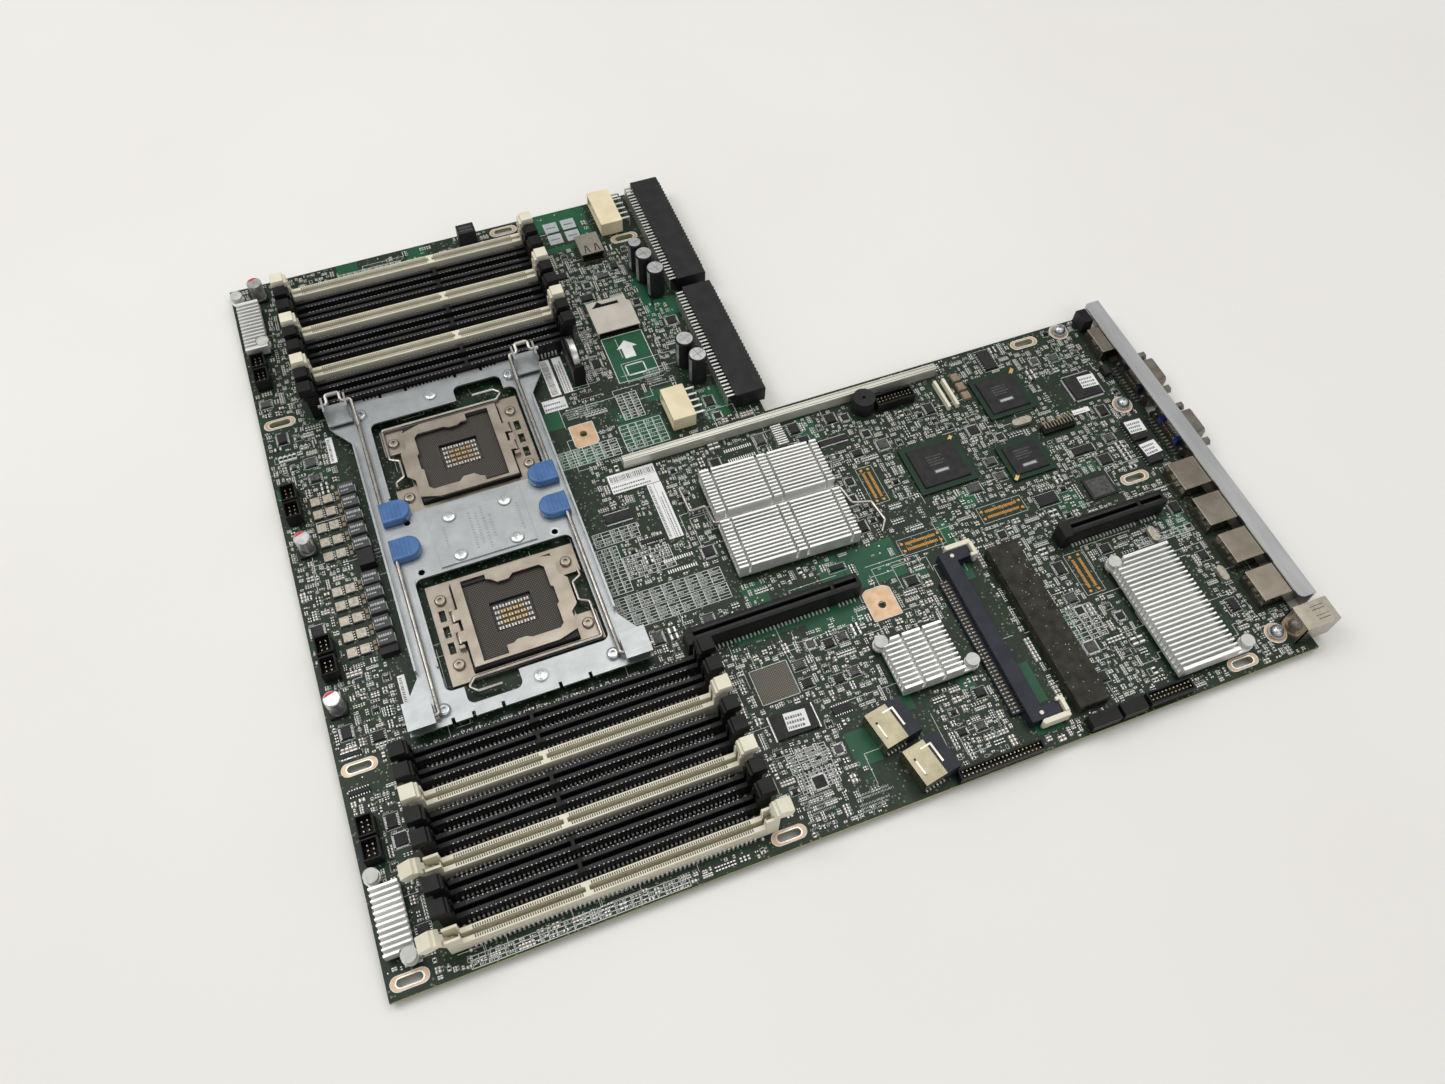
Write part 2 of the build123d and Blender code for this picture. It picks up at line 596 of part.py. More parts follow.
def network_heatsink():
    x, y, top = NETWORK_SINK
    sink = finned(x, y, top, 2.45)
    pins = ((PUSH_PINS[2], (x[0] + 5, y[1] - 1)), (PUSH_PINS[3], (x[1] - 1, y[0])))
    return with_ears(sink, pins)


def supply_heatsinks():
    sinks = []
    for number, (x, y, top) in enumerate(SUPPLY_SINKS):
        far_pin = PUSH_PINS[4 + 2 * number]
        near_pin = PUSH_PINS[5 + 2 * number]
        pins = ((far_pin, (x[0], y[1] - 1)), (near_pin, (x[1], y[0] + 1)))
        sinks.append(with_ears(finned(x, y, top, 2.55), pins))
    return separate(sinks)


def push_pins():
    """White spring pins, with a round head on each heatsink lug and a barb under the board."""
    pins = []
    for x, y in PUSH_PINS:
        head = disc(x, y, (SINK_BASE[1] + 1.6, SINK_BASE[1] + 3.2), 3.3)
        head += disc(x, y, (SINK_BASE[1], SINK_BASE[1] + 1.6), 2.4)
        pins.append(head + disc(x, y, (-UNDERSIDE_DEPTH + 0.6, SINK_BASE[1]), PUSH_PIN_RADIUS))
    return separate(pins)


# ---- power ----------------------------------------------------------------------------------


def supply_connectors():
    shells = []
    for y in SUPPLY_Y:
        shell = block(SUPPLY_X, y, (0, SUPPLY_HEIGHT))
        mouth = block((SUPPLY_X[1] - 9, SUPPLY_X[1] + 1), (y[0] + 3, y[1] - 3), (2.3, 8.0))
        shell -= mouth
        shells.append(chamfer(shell.edges().filter_by(Axis.Y).sort_by(Axis.Z)[-1], 0.8))
    return separate(shells)


def power_headers():
    shells = []
    for x, y, _ in POWER_HEADERS:
        shell = block(x, y, (0, POWER_HEADER_HEIGHT))
        mouth = block((x[0] - 1, x[0] + 9), (y[0] + 1.4, y[1] - 1.4), (1.5, 7.7))
        shells.append(shell - mouth)
    return separate(shells)


def bent_pin(face_x, y, z, reach, width, towards):
    """A flat pin out of a connector's back that turns down through the board."""
    tip_x = face_x + towards * reach
    flat = block(sorted((face_x, tip_x)), around(y, width / 2), (z - 0.3, z + 0.3))
    leg = block(sorted((tip_x, tip_x + towards * 0.6)), around(y, width / 2), (0, z + 0.3))
    return flat + leg


def connector_pins():
    pins = []
    for y in SUPPLY_Y:
        start = (y[0] + y[1]) / 2 - (SUPPLY_PINS - 1) / 2 * SUPPLY_PIN_PITCH
        for number in range(SUPPLY_PINS):
            pins.append(bent_pin(SUPPLY_X[0], start + number * SUPPLY_PIN_PITCH, 8.6, 3.8, 1.0, -1))
    for x, y, count in POWER_HEADERS:
        start = (y[0] + y[1]) / 2 - (count - 1) / 2 * POWER_PIN_PITCH
        for number in range(count):
            pins.append(bent_pin(x[1], start + number * POWER_PIN_PITCH, 6.6, 5.0, 1.1, 1))
    return separate(pins)


def bus_bar():
    bar = block((170.3, 349.5), (213.6, 217.8), (0, 6.4))
    return fillet(bar.edges().filter_by(Axis.X).sort_by(Axis.Z)[-2:], 0.5)


# ---- slots, ports and sockets -----------------------------------------------------------------


def riser_slots():
    bodies = []
    for x, near, end_block, key in RISER_SLOTS:
        y = (near, near + SLOT_BODY_WIDTH)
        body = block(x, y, (0, SLOT_HEIGHT))
        body += block(end_block, (near - 1.0, near + SLOT_BODY_WIDTH), (0, SLOT_HEIGHT))
        middle = around(near + SLOT_BODY_WIDTH / 2, 1.0)
        groove = block((x[0] + 1.6, x[1] - 1.6), middle, (3.2, SLOT_HEIGHT + 1))
        rib = block(around(key, 0.9), middle, (3.2, SLOT_HEIGHT))
        bodies.append(body - groove + rib)
    return separate(bodies)


def module_socket():
    """The low socket for the cache module, which slides in between two arms."""
    spine = block((296.2, 304.0), (12.6, 107.0), (0, 6.5))
    arms = block((304.0, 312.0), (12.6, 18.6), (0, 6.5)) + block((304.0, 312.0), (101.0, 107.0), (0, 6.5))
    tails = block((291.2, 296.2), (20.2, 94.4), (0, 2.4))
    groove = block((299.5, 313.0), (15.6, 104.0), (2.6, 4.2))
    return spine + arms + tails - groove


def module_latch(end):
    """A flat hooked latch beside one arm of the module socket."""
    sign = 1 if end == "near" else -1
    face = 12.2 if end == "near" else 107.4
    hook_to = face + sign * 7.4

    def span(first, second):
        return sorted((first, second))

    arm = block((301.8, 314.4), span(face, face - sign * 2.4), (1.6, 7.4))
    arm += disc(301.8, face - sign * 1.2, (1.6, 7.4), 1.2)
    hook = block((312.6, 314.4), span(face, hook_to), (1.6, 8.4))
    tip = block((310.9, 312.6), span(hook_to, hook_to - sign * 1.6), (6.9, 8.4))
    return arm + hook + tip


def storage_ports():
    """Two shielded cable ports, turned a little to aim the cables past the heatsinks."""
    ports = []
    for x, y in ((236.4, 34.3), (244.8, 12.9)):
        shell = block((-9.4, 9.4), (-9.2, 9.2), (0, 9.6))
        mouth = block((1.0, 10.4), (-7.6, 7.6), (1.9, 7.7))
        ports.append(Pos(x, y, 0) * Rot(Z=10.5) * (shell - mouth))
    return separate(ports)


def network_jacks():
    jacks = []
    for y, jack_from, notch_from in zip(JACK_Y, JACK_FROM, JACK_NOTCH_FROM):
        width = around(y, JACK_WIDTH / 2)
        jack = block((jack_from, BRACKET_WALL[0]), width, (0, JACK_TOP))
        jack += block((notch_from + 0.2, BRACKET_WALL[0]), width, (-UNDERSIDE_DEPTH, 0))
        across, tall, deep = JACK_MOUTH
        mouth_x = (BRACKET_WALL[0] - deep, BRACKET_WALL[0] + 1)
        jack -= block(mouth_x, around(y, across / 2), around(JACK_MOUTH_Z, tall / 2))
        jack -= block(mouth_x, around(y, 3.0), (JACK_MOUTH_Z, JACK_MOUTH_Z + tall / 2 + 1.8))
        jacks.append(jack)
    return separate(jacks)


def d_sub(y):
    """A D-shaped port: body on the board's edge, shell through the bracket and two hex posts."""
    body = block((DSUB_FROM, BRACKET_WALL[0]), around(y, 15.4), (-4.6, JACK_TOP))
    shell_x = (BRACKET_WALL[0], REAR_REACH)
    shell = block(shell_x, around(y, 8.2), around(DSUB_Z, 4.1))
    shell = fillet(shell.edges().filter_by(Axis.X), 2.2)
    hollow = block((BRACKET_WALL[0] + 0.6, REAR_REACH + 1), around(y, 7.6), around(DSUB_Z, 3.5))
    shell -= hollow
    posts = []
    for side in (-1, 1):
        post_y = y + side * DSUB_POST_SPACING / 2
        prism = extrude(Plane.YZ * RegularPolygon(2.6, 6), REAR_REACH - 0.3 - BRACKET_WALL[0])
        posts.append(Pos(BRACKET_WALL[0], post_y, DSUB_Z) * prism)
    return [body + shell] + posts


def video_and_serial_ports():
    return separate(d_sub(VIDEO_Y) + d_sub(SERIAL_Y))


def usb_ports():
    """The stacked pair at the rear corner and the single one inside, each with its tongue."""
    x, y, z = USB_STACK
    stack = block(x, y, z)
    middle_y = (y[0] + y[1]) / 2
    for low in (1.0, 8.0):
        stack -= block((x[1] - 9, x[1] + 1), around(middle_y, 6.0), (low, low + 5.4))
        stack += block((x[1] - 9, x[1] - 0.8), around(middle_y, 5.2), (low + 4.3, low + 5.4))
    inner = block((194.4, 208.2), (360.5, 376.8), (0, 7.0))
    inner -= block(around(201.3, 6.2), (359.5, 369.5), (0.6, 6.2))
    inner += block(around(201.3, 5.4), (361.0, 369.5), (5.1, 6.2))
    return separate([stack, inner])


def rear_bracket():
    """The sheet-metal bracket: an upright wall with port holes and a flange over the ports."""
    wall = block(BRACKET_WALL, BRACKET_Y, BRACKET_Z)
    flange = block((BRACKET_FLANGE_FROM, BRACKET_WALL[1]), BRACKET_Y, (BRACKET_Z[1] - SHEET, BRACKET_Z[1]))
    flange = fillet(flange.edges().filter_by(Axis.Z).sort_by(Axis.X)[:2], 3.0)
    past = (BRACKET_WALL[0] - 1, BRACKET_WALL[1] + 1)
    holes = []
    for y in JACK_Y:
        height = around(JACK_MOUTH_Z + 0.6, JACK_MOUTH[1] / 2 + 1.2)
        holes.append(block(past, around(y, JACK_MOUTH[0] / 2 + 0.5), height))
    for y in (VIDEO_Y, SERIAL_Y):
        holes.append(block(past, around(y, 8.2), around(DSUB_Z, 4.1)))
        for side in (-1, 1):
            holes.append(block(past, around(y + side * DSUB_POST_SPACING / 2, 2.6), around(DSUB_Z, 2.6)))
    return wall + flange - holes


def card_slot():
    """The low steel card slot inside the board, open towards the near edge."""
    shell = block((185.2, 210.0), (302.5, 326.3), (0, 4.0))
    return shell - block((185.9, 209.3), (301.5, 324.0), (0.7, 3.3))


def battery_holder():
    """An upright clip: a base, two end posts and a back plate."""
    holder = block((163.0, 169.4), (274.6, 297.4), (0, 1.4))
    holder += block((163.0, 164.2), (274.6, 297.4), (1.4, 13.0))
    holder += block((164.2, 169.4), (274.6, 275.6), (1.4, 15.0))
    holder += block((164.2, 169.4), (296.4, 297.4), (1.4, 15.0))
    return holder


def coin_cell():
    return Pos(166.2, 286.0, 11.5) * Rot(Y=90) * Cylinder(10.0, 3.2)


# ---- small components ------------------------------------------------------------------------


def capacitors():
    pieces = [disc(x, y, (0, height), radius) for x, y, radius, height in TALL_CAPACITORS]
    for x, y, radius, height in CHIP_CAPACITORS:
        foot = block(around(x, radius + 0.4), around(y, radius + 0.4), (0, 1.6))
        pieces.append(foot + disc(x, y, (1.6, height), radius))
    return separate(pieces)


def inductors():
    pieces = [block(CHOKE_X, around(y, CHOKE_LENGTH / 2), (0, CHOKE_HEIGHT)) for y in CHOKE_Y]
    pieces.append(block((31.4, 39.4), (200.4, 209.9), (0, CHOKE_HEIGHT)))
    pieces.append(block((30.6, 39.4), (150.4, 154.3), (0, 3.6)))
    pieces.append(block((131.2, 141.9), (394.3, 402.6), (0, 13.0)))
    return separate(pieces)


def package(x, y, height, foot=0.3):
    """A flat moulded chip a little above the board."""
    return block(x, y, (foot, height))


def ball_grid_chip(x, y, rim):
    """A chip on a thin carrier, with the moulded part set in from the carrier's edge."""
    carrier = block(x, y, (0.5, 1.4))
    return carrier + block((x[0] + rim, x[1] - rim), (y[0] + rim, y[1] - rim), (1.4, 2.4))


def chips():
    pieces = [
        ball_grid_chip((307.5, 339.8), (143.8, 174.2), 3.6),
        ball_grid_chip((363.7, 391.6), (174.6, 202.5), 4.2),
        ball_grid_chip((356.3, 380.7), (135.3, 158.2), 2.6),
    ]
    pieces += [
        package((412.6, 431.6), (169.6, 187.8), 1.8),
        package((186.0, 208.2), (46.8, 59.6), 1.8),
        package((426.8, 437.0), (120.0, 134.0), 2.3),
        package((426.8, 437.0), (135.6, 149.2), 2.3),
        package((151.0, 164.6), (182.8, 189.8), 1.5),
        package((163.4, 175.6), (165.8, 169.6), 1.4),
        package((215.6, 224.8), (48.8, 54.4), 1.4),
        package((2.6, 12.0), (88.6, 92.4), 1.4),
        package((2.6, 12.0), (106.8, 110.6), 1.4),
        package((271.0, 286.6), (189.8, 194.6), 1.4),
        package((163.0, 170.6), (264.2, 268.2), 1.4),
    ]
    middle_x, middle_y, turn = CHIPSET_SINK_AT
    pieces.append(Pos(middle_x, middle_y, 0) * Rot(Z=turn) * block((-20, 20), (-20, 20), (0.4, SINK_BASE[0])))
    for x, y, _ in (STORAGE_SINK, NETWORK_SINK) + SUPPLY_SINKS:
        pieces.append(block((x[0] + 2.6, x[1] - 2.6), (y[0] + 8, y[1] - 8), (0.4, SINK_BASE[0])))
    return separate(pieces)


def pin_headers():
    """Fan and cable headers: black shrouds, open at the top."""
    pieces = []
    for y in (72.2, 61.4, 163.2, 151.9, 253.7, 242.9, 345.2, 334.4):
        shroud = block(around(7.4, 3.9), around(y, 4.9), (0, 8.0))
        pieces.append(shroud - block(around(7.4, 3.1), around(y, 4.1), (1.5, 9.0)))
    for x, y, height in (
        ((254.4, 296.8), (0.3, 5.2), 5.0),
        ((352.6, 376.2), (1.2, 7.6), 5.5),
        ((309.0, 331.0), (201.4, 209.2), 6.0),
    ):
        shroud = block(x, y, (0, height))
        pieces.append(shroud - block((x[0] + 0.9, x[1] - 0.9), (y[0] + 0.9, y[1] - 0.9), (1.5, height + 1)))
    pieces.append(block((321.4, 336.4), (0.6, 7.0), (0, 6.0)))
    pieces.append(block((338.0, 350.4), (0.6, 7.0), (0, 6.0)))
    pieces.append(block((385.4, 404.4), (156.2, 161.2), (0, 2.5)))
    return separate(pieces)


def foam_strip():
    return block((320.5, 336.8), (11.4, 102.2), (0, 6.0))


def buzzer():
    x, y, radius, height = BUZZER
    body = disc(x, y, (0, height), radius)
    return body - disc(x, y, (height - 2.0, height + 1), 0.9)


# ---- writing ---------------------------------------------------------------------------------


def main():
    os.makedirs("parts", exist_ok=True)
    write("pcb", circuit_board())
    write("memory_sockets_white", memory_sockets(True))
    write("memory_sockets_black", memory_sockets(False))
    near = socket_rows("near")
    write("near_latch_3_front", latch(near[2], "front"))
    write("near_latches_open_front", separate([latch(near[row], "front", LATCH_OPEN) for row in (5, 8)]))
    write("near_latches_3_6_rear", separate([latch(near[row], "rear") for row in (2, 5)]))
    write("near_latch_9_rear", latch(near[8], "rear", LATCH_HALF_OPEN))
    for end in ("front", "rear"):
        write(f"far_white_latches_{end}", latches("far", end, True))
        for bank in ("near", "far"):
            write(f"{bank}_black_latches_{end}", latches(bank, end, False))
    for number in (1, 2):
        write(f"cpu_socket_{number}", cpu_socket(number))
        write(f"load_plate_{number}", load_plate(number))
        write(f"load_lever_{number}", load_lever(number))
    write("socket_frames", separate([load_frame(1), load_frame(2)]))
    write("socket_backplates", backplates())
    write("socket_screws", socket_screws())
    write("heatsink_clamp_frame", clamp_frame())
    write("panel_screws", panel_screws())
    for end in ("near", "far"):
        for side in ("front", "rear"):
            write(f"clamp_lever_{end}_{side}", clamp_lever(side, end))
            write(f"lever_grip_{end}_{side}", lever_grip(side, end))
    write("chipset_heatsink", chipset_heatsink())
    write("heatsink_clip", heatsink_clip())
    write("storage_heatsink", storage_heatsink())
    write("network_heatsink", network_heatsink())
    write("supply_heatsinks", supply_heatsinks())
    write("push_pins", push_pins())
    write("supply_connectors", supply_connectors())
    write("power_headers", power_headers())
    write("connector_pins", connector_pins())
    write("bus_bar", bus_bar())
    write("riser_slots", riser_slots())
    write("module_socket", module_socket())
    for end in ("near", "far"):
        write(f"module_latch_{end}", module_latch(end))
    write("storage_ports", storage_ports())
    write("network_jacks", network_jacks())
    write("video_and_serial_ports", video_and_serial_ports())
    write("usb_ports", usb_ports())
    write("rear_bracket", rear_bracket())
    write("card_slot", card_slot())
    write("battery_holder", battery_holder())
    write("coin_cell", coin_cell())
    write("capacitors", capacitors())
    write("inductors", inductors())
    write("chips", chips())
    write("pin_headers", pin_headers())
    write("foam_strip", foam_strip())
    write("buzzer", buzzer())


main()
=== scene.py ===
import math
import random

import bpy
import numpy as np
from mathutils import Matrix, Quaternion, Vector


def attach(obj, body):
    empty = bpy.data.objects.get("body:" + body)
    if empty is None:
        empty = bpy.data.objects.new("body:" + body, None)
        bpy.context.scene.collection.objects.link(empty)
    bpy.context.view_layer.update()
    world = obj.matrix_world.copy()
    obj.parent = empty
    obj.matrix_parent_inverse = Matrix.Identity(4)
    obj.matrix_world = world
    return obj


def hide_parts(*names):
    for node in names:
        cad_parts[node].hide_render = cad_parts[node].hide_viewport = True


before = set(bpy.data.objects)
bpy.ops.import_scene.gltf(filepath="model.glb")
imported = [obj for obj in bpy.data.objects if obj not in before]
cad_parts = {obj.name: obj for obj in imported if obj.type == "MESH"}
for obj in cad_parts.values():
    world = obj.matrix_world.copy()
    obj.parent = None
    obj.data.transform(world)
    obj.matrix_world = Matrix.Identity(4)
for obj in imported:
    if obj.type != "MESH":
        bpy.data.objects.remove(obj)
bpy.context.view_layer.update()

# Working axes, in millimetres: X from the front edge to the ports, Y from the near edge, Z up from
# the board's top face. SHIFT takes them to the shared frame, which is in metres.
SHIFT = np.array([232.4, 204.0, -4.9])
MM = 1000
rng = random.Random(11)


# ---- materials -------------------------------------------------------------------------------


class Tree:
    """A material's node tree, with object coordinates in millimetres."""

    def __init__(self, name):
        self.mat = bpy.data.materials.new(name)
        self.mat.use_nodes = True
        self.t = self.mat.node_tree
        self.bsdf = next(n for n in self.t.nodes if n.type == "BSDF_PRINCIPLED")
        place = self.node("TexCoord", out="Object")
        self.mm = self.node("Mapping", {"Vector": place, "Scale": (MM, MM, MM)})

    def put(self, socket, value):
        if isinstance(value, bpy.types.NodeSocket):
            self.t.links.new(value, socket)
        else:
            socket.default_value = value

    def node(self, kind, inputs=None, out=0, **props):
        n = self.t.nodes.new("ShaderNode" + kind)
        for key, value in props.items():
            setattr(n, key, value)
        for key, value in (inputs or {}).items():
            self.put(n.inputs[key], value)
        return n.outputs[out]

    def noise(self, size, detail=2.0, stretch=(1, 1, 1), rough=0.5):
        v = self.mm
        if stretch != (1, 1, 1):
            v = self.node("Mapping", {"Vector": v, "Scale": stretch})
        return self.node("TexNoise", {"Vector": v, "Scale": 1.0 / size, "Detail": detail,
                                      "Roughness": rough})

    def voronoi(self, size, out=0, metric="EUCLIDEAN", jitter=1.0, vector=None):
        return self.node("TexVoronoi", {"Vector": vector or self.mm, "Scale": 1.0 / size,
                                        "Randomness": jitter}, out, distance=metric)

    def span(self, value, low, high, to_low=0.0, to_high=1.0):
        """Take a range of values to another one."""
        return self.node("MapRange", {"Value": value, "From Min": low, "From Max": high,
                                      "To Min": to_low, "To Max": to_high})

    def part(self, vector, axis):
        """One coordinate of a vector."""
        return self.node("SeparateXYZ", {0: vector}, axis)

    def mix(self, factor, a, b):
        a, b = ((*c, 1) if isinstance(c, tuple) else c for c in (a, b))
        return self.node("Mix", {0: factor, 6: a, 7: b}, 2, data_type="RGBA")

    def math(self, op, a, b=0.0):
        return self.node("Math", {0: a, 1: b}, operation=op)

    def choose(self, switch, a, b):
        """Value a where the switch is 0, and b where it is 1."""
        off = self.math("SUBTRACT", 1.0, switch)
        return self.math("ADD", self.math("MULTIPLY", a, off), self.math("MULTIPLY", b, switch))

    def set(self, **sockets):
        for key, value in sockets.items():
            value = (*value, 1) if isinstance(value, tuple) else value
            self.put(self.bsdf.inputs[key.replace("_", " ")], value)

    def bump(self, height, strength, distance):
        self.set(Normal=self.node("Bump", {"Height": height, "Strength": strength,
                                           "Distance": distance / MM}))


def plain(name, dark, light, rough, metal=0, size=6, grain=0.35, bump=0.15, sheen=0.5,
          spread=0.08, stretch=(1, 1, 1)):
    """A surface with broad colour variation, fine grain in its gloss, and a shallow bump."""
    t = Tree(name)
    broad = t.noise(size, 3.0, stretch)
    fine = t.noise(grain, 2.0, stretch)
    t.set(Base_Color=t.mix(t.span(broad, 0.3, 0.7), dark, light), Metallic=metal,
          Specular_IOR_Level=sheen)
    spread = min(spread, 0.03) if metal > 0.8 else spread
    t.set(Roughness=t.span(fine, 0.3, 0.7, rough - spread, rough + spread))
    t.bump(fine, bump * (0.2 if metal > 0.4 else 1.0), 0.03)
    return t.mat


def board_material(name, dark, olive, pour, pour_from):
    """Solder mask over traces: fine runs in three directions, vias, and a laminate edge."""
    t = Tree(name)
    cell = t.node("SeparateColor", {0: t.voronoi(9.0, 1, "CHEBYCHEV")})
    x, y = t.part(t.mm, 0), t.part(t.mm, 1)
    along = t.math("GREATER_THAN", cell, 0.36)
    slant = t.math("GREATER_THAN", cell, 0.76)
    lane = t.choose(slant, t.choose(along, x, y), t.math("ADD", x, y))
    trace = t.math("GREATER_THAN", t.math("SINE", t.math("MULTIPLY", lane, 8.6)), 0.1)
    patch = t.noise(13.0, 3.0, rough=0.65)
    colour = t.mix(t.span(t.noise(4.0, 4.0), 0.35, 0.68), dark, olive)
    colour = t.mix(t.math("MULTIPLY", trace, 0.6), colour, pour)
    colour = t.mix(t.span(patch, pour_from, pour_from + 0.02), colour, pour)
    dots = t.math("LESS_THAN", t.voronoi(1.9), 0.26)
    some = t.math("GREATER_THAN", t.noise(7.0, 2.0), 0.47)
    vias = t.math("MULTIPLY", t.math("MULTIPLY", dots, some), 0.75)
    colour = t.mix(vias, colour, (0.20, 0.22, 0.15))
    up = t.part(t.node("NewGeometry", out=1), 2)
    edge = t.math("LESS_THAN", t.math("ABSOLUTE", up), 0.5)
    layers = t.mix(t.span(t.noise(1.2, 2.0, (0.05, 0.05, 4)), 0.4, 0.6),
                   (0.20, 0.20, 0.07), (0.42, 0.42, 0.17))
    under = t.math("LESS_THAN", up, -0.5)
    joints = t.math("LESS_THAN", t.voronoi(2.3, jitter=0.35), 0.3)
    below = t.mix(t.math("MULTIPLY", joints, some), (0.012, 0.05, 0.022), (0.42, 0.42, 0.40))
    t.set(Base_Color=t.mix(under, t.mix(edge, colour, layers), below), Specular_IOR_Level=0.3,
          Roughness=t.span(t.noise(1.0), 0.3, 0.7, 0.34, 0.5))
    t.bump(t.math("ADD", t.math("MULTIPLY", trace, 0.3), t.noise(0.6)), 0.25, 0.03)
    return t.mat


def gridded(name, base, dot, pitch, reach, rough, turn=0.0):
    """A flat field of small round spots on a regular pitch."""
    t = Tree(name)
    v = t.node("Mapping", {"Vector": t.mm, "Rotation": (0, 0, turn)})
    flat = t.node("CombineXYZ", {0: t.part(v, 0), 1: t.part(v, 1)})
    near = t.voronoi(pitch, jitter=0.0, vector=flat)
    on = t.span(near, reach, reach + 0.08, 1.0, 0.0)
    shade = t.mix(t.span(t.noise(5.0, 3.0), 0.3, 0.7), base, tuple(c * 1.35 for c in base))
    t.set(Base_Color=t.mix(on, shade, dot), Roughness=rough, Metallic=0.0)
    t.bump(near, 0.5, 0.25)
    return t.mat


def foam_material():
    """Charcoal foam with pale flecks."""
    t = Tree("foam_charcoal")
    fleck = t.math("LESS_THAN", t.voronoi(1.5), 0.17)
    keep = t.math("GREATER_THAN", t.noise(2.0, 2.0), 0.56)
    base = t.mix(t.span(t.noise(5.0, 4.0), 0.3, 0.7),
                 (0.028, 0.027, 0.021), (0.056, 0.054, 0.043))
    t.set(Base_Color=t.mix(t.math("MULTIPLY", fleck, keep), base, (0.5, 0.5, 0.47)),
          Roughness=0.95, Specular_IOR_Level=0.1)
    t.bump(t.voronoi(0.45), 0.6, 0.2)
    return t.mat


def zinc_material():
    """Bright zinc plate: soft spangle, faint rolling lines and small scuffs."""
    t = Tree("zinc_plate")
    spangle = t.noise(9.0, 4.0, rough=0.6)
    lines = t.noise(0.7, 2.0, (0.04, 1.4, 1))
    colour = t.mix(t.span(spangle, 0.3, 0.72), (0.37, 0.39, 0.40), (0.47, 0.49, 0.50))
    scuff = t.math("LESS_THAN", t.voronoi(16.0, metric="MINKOWSKI"), 0.05)
    colour = t.mix(t.math("MULTIPLY", scuff, 0.35), colour, (0.36, 0.35, 0.33))
    t.set(Base_Color=colour, Metallic=0.9, Roughness=t.span(lines, 0.3, 0.7, 0.28, 0.42))
    t.bump(lines, 0.06, 0.03)
    return t.mat


M = {
    "board": board_material("solder_mask", (0.004, 0.008, 0.005), (0.014, 0.022, 0.010),
                            (0.006, 0.036, 0.015), 0.63),
    "zinc": zinc_material(),
    "foam": foam_material(),
    "field": gridded("socket_field", (0.010, 0.008, 0.007), (0.12, 0.10, 0.075), 1.0, 0.2, 0.55,
                     0.785),
    "ball_field": gridded("bare_ball_field", (0.030, 0.027, 0.020), (0.22, 0.20, 0.15), 0.8, 0.28,
                          0.5),
}

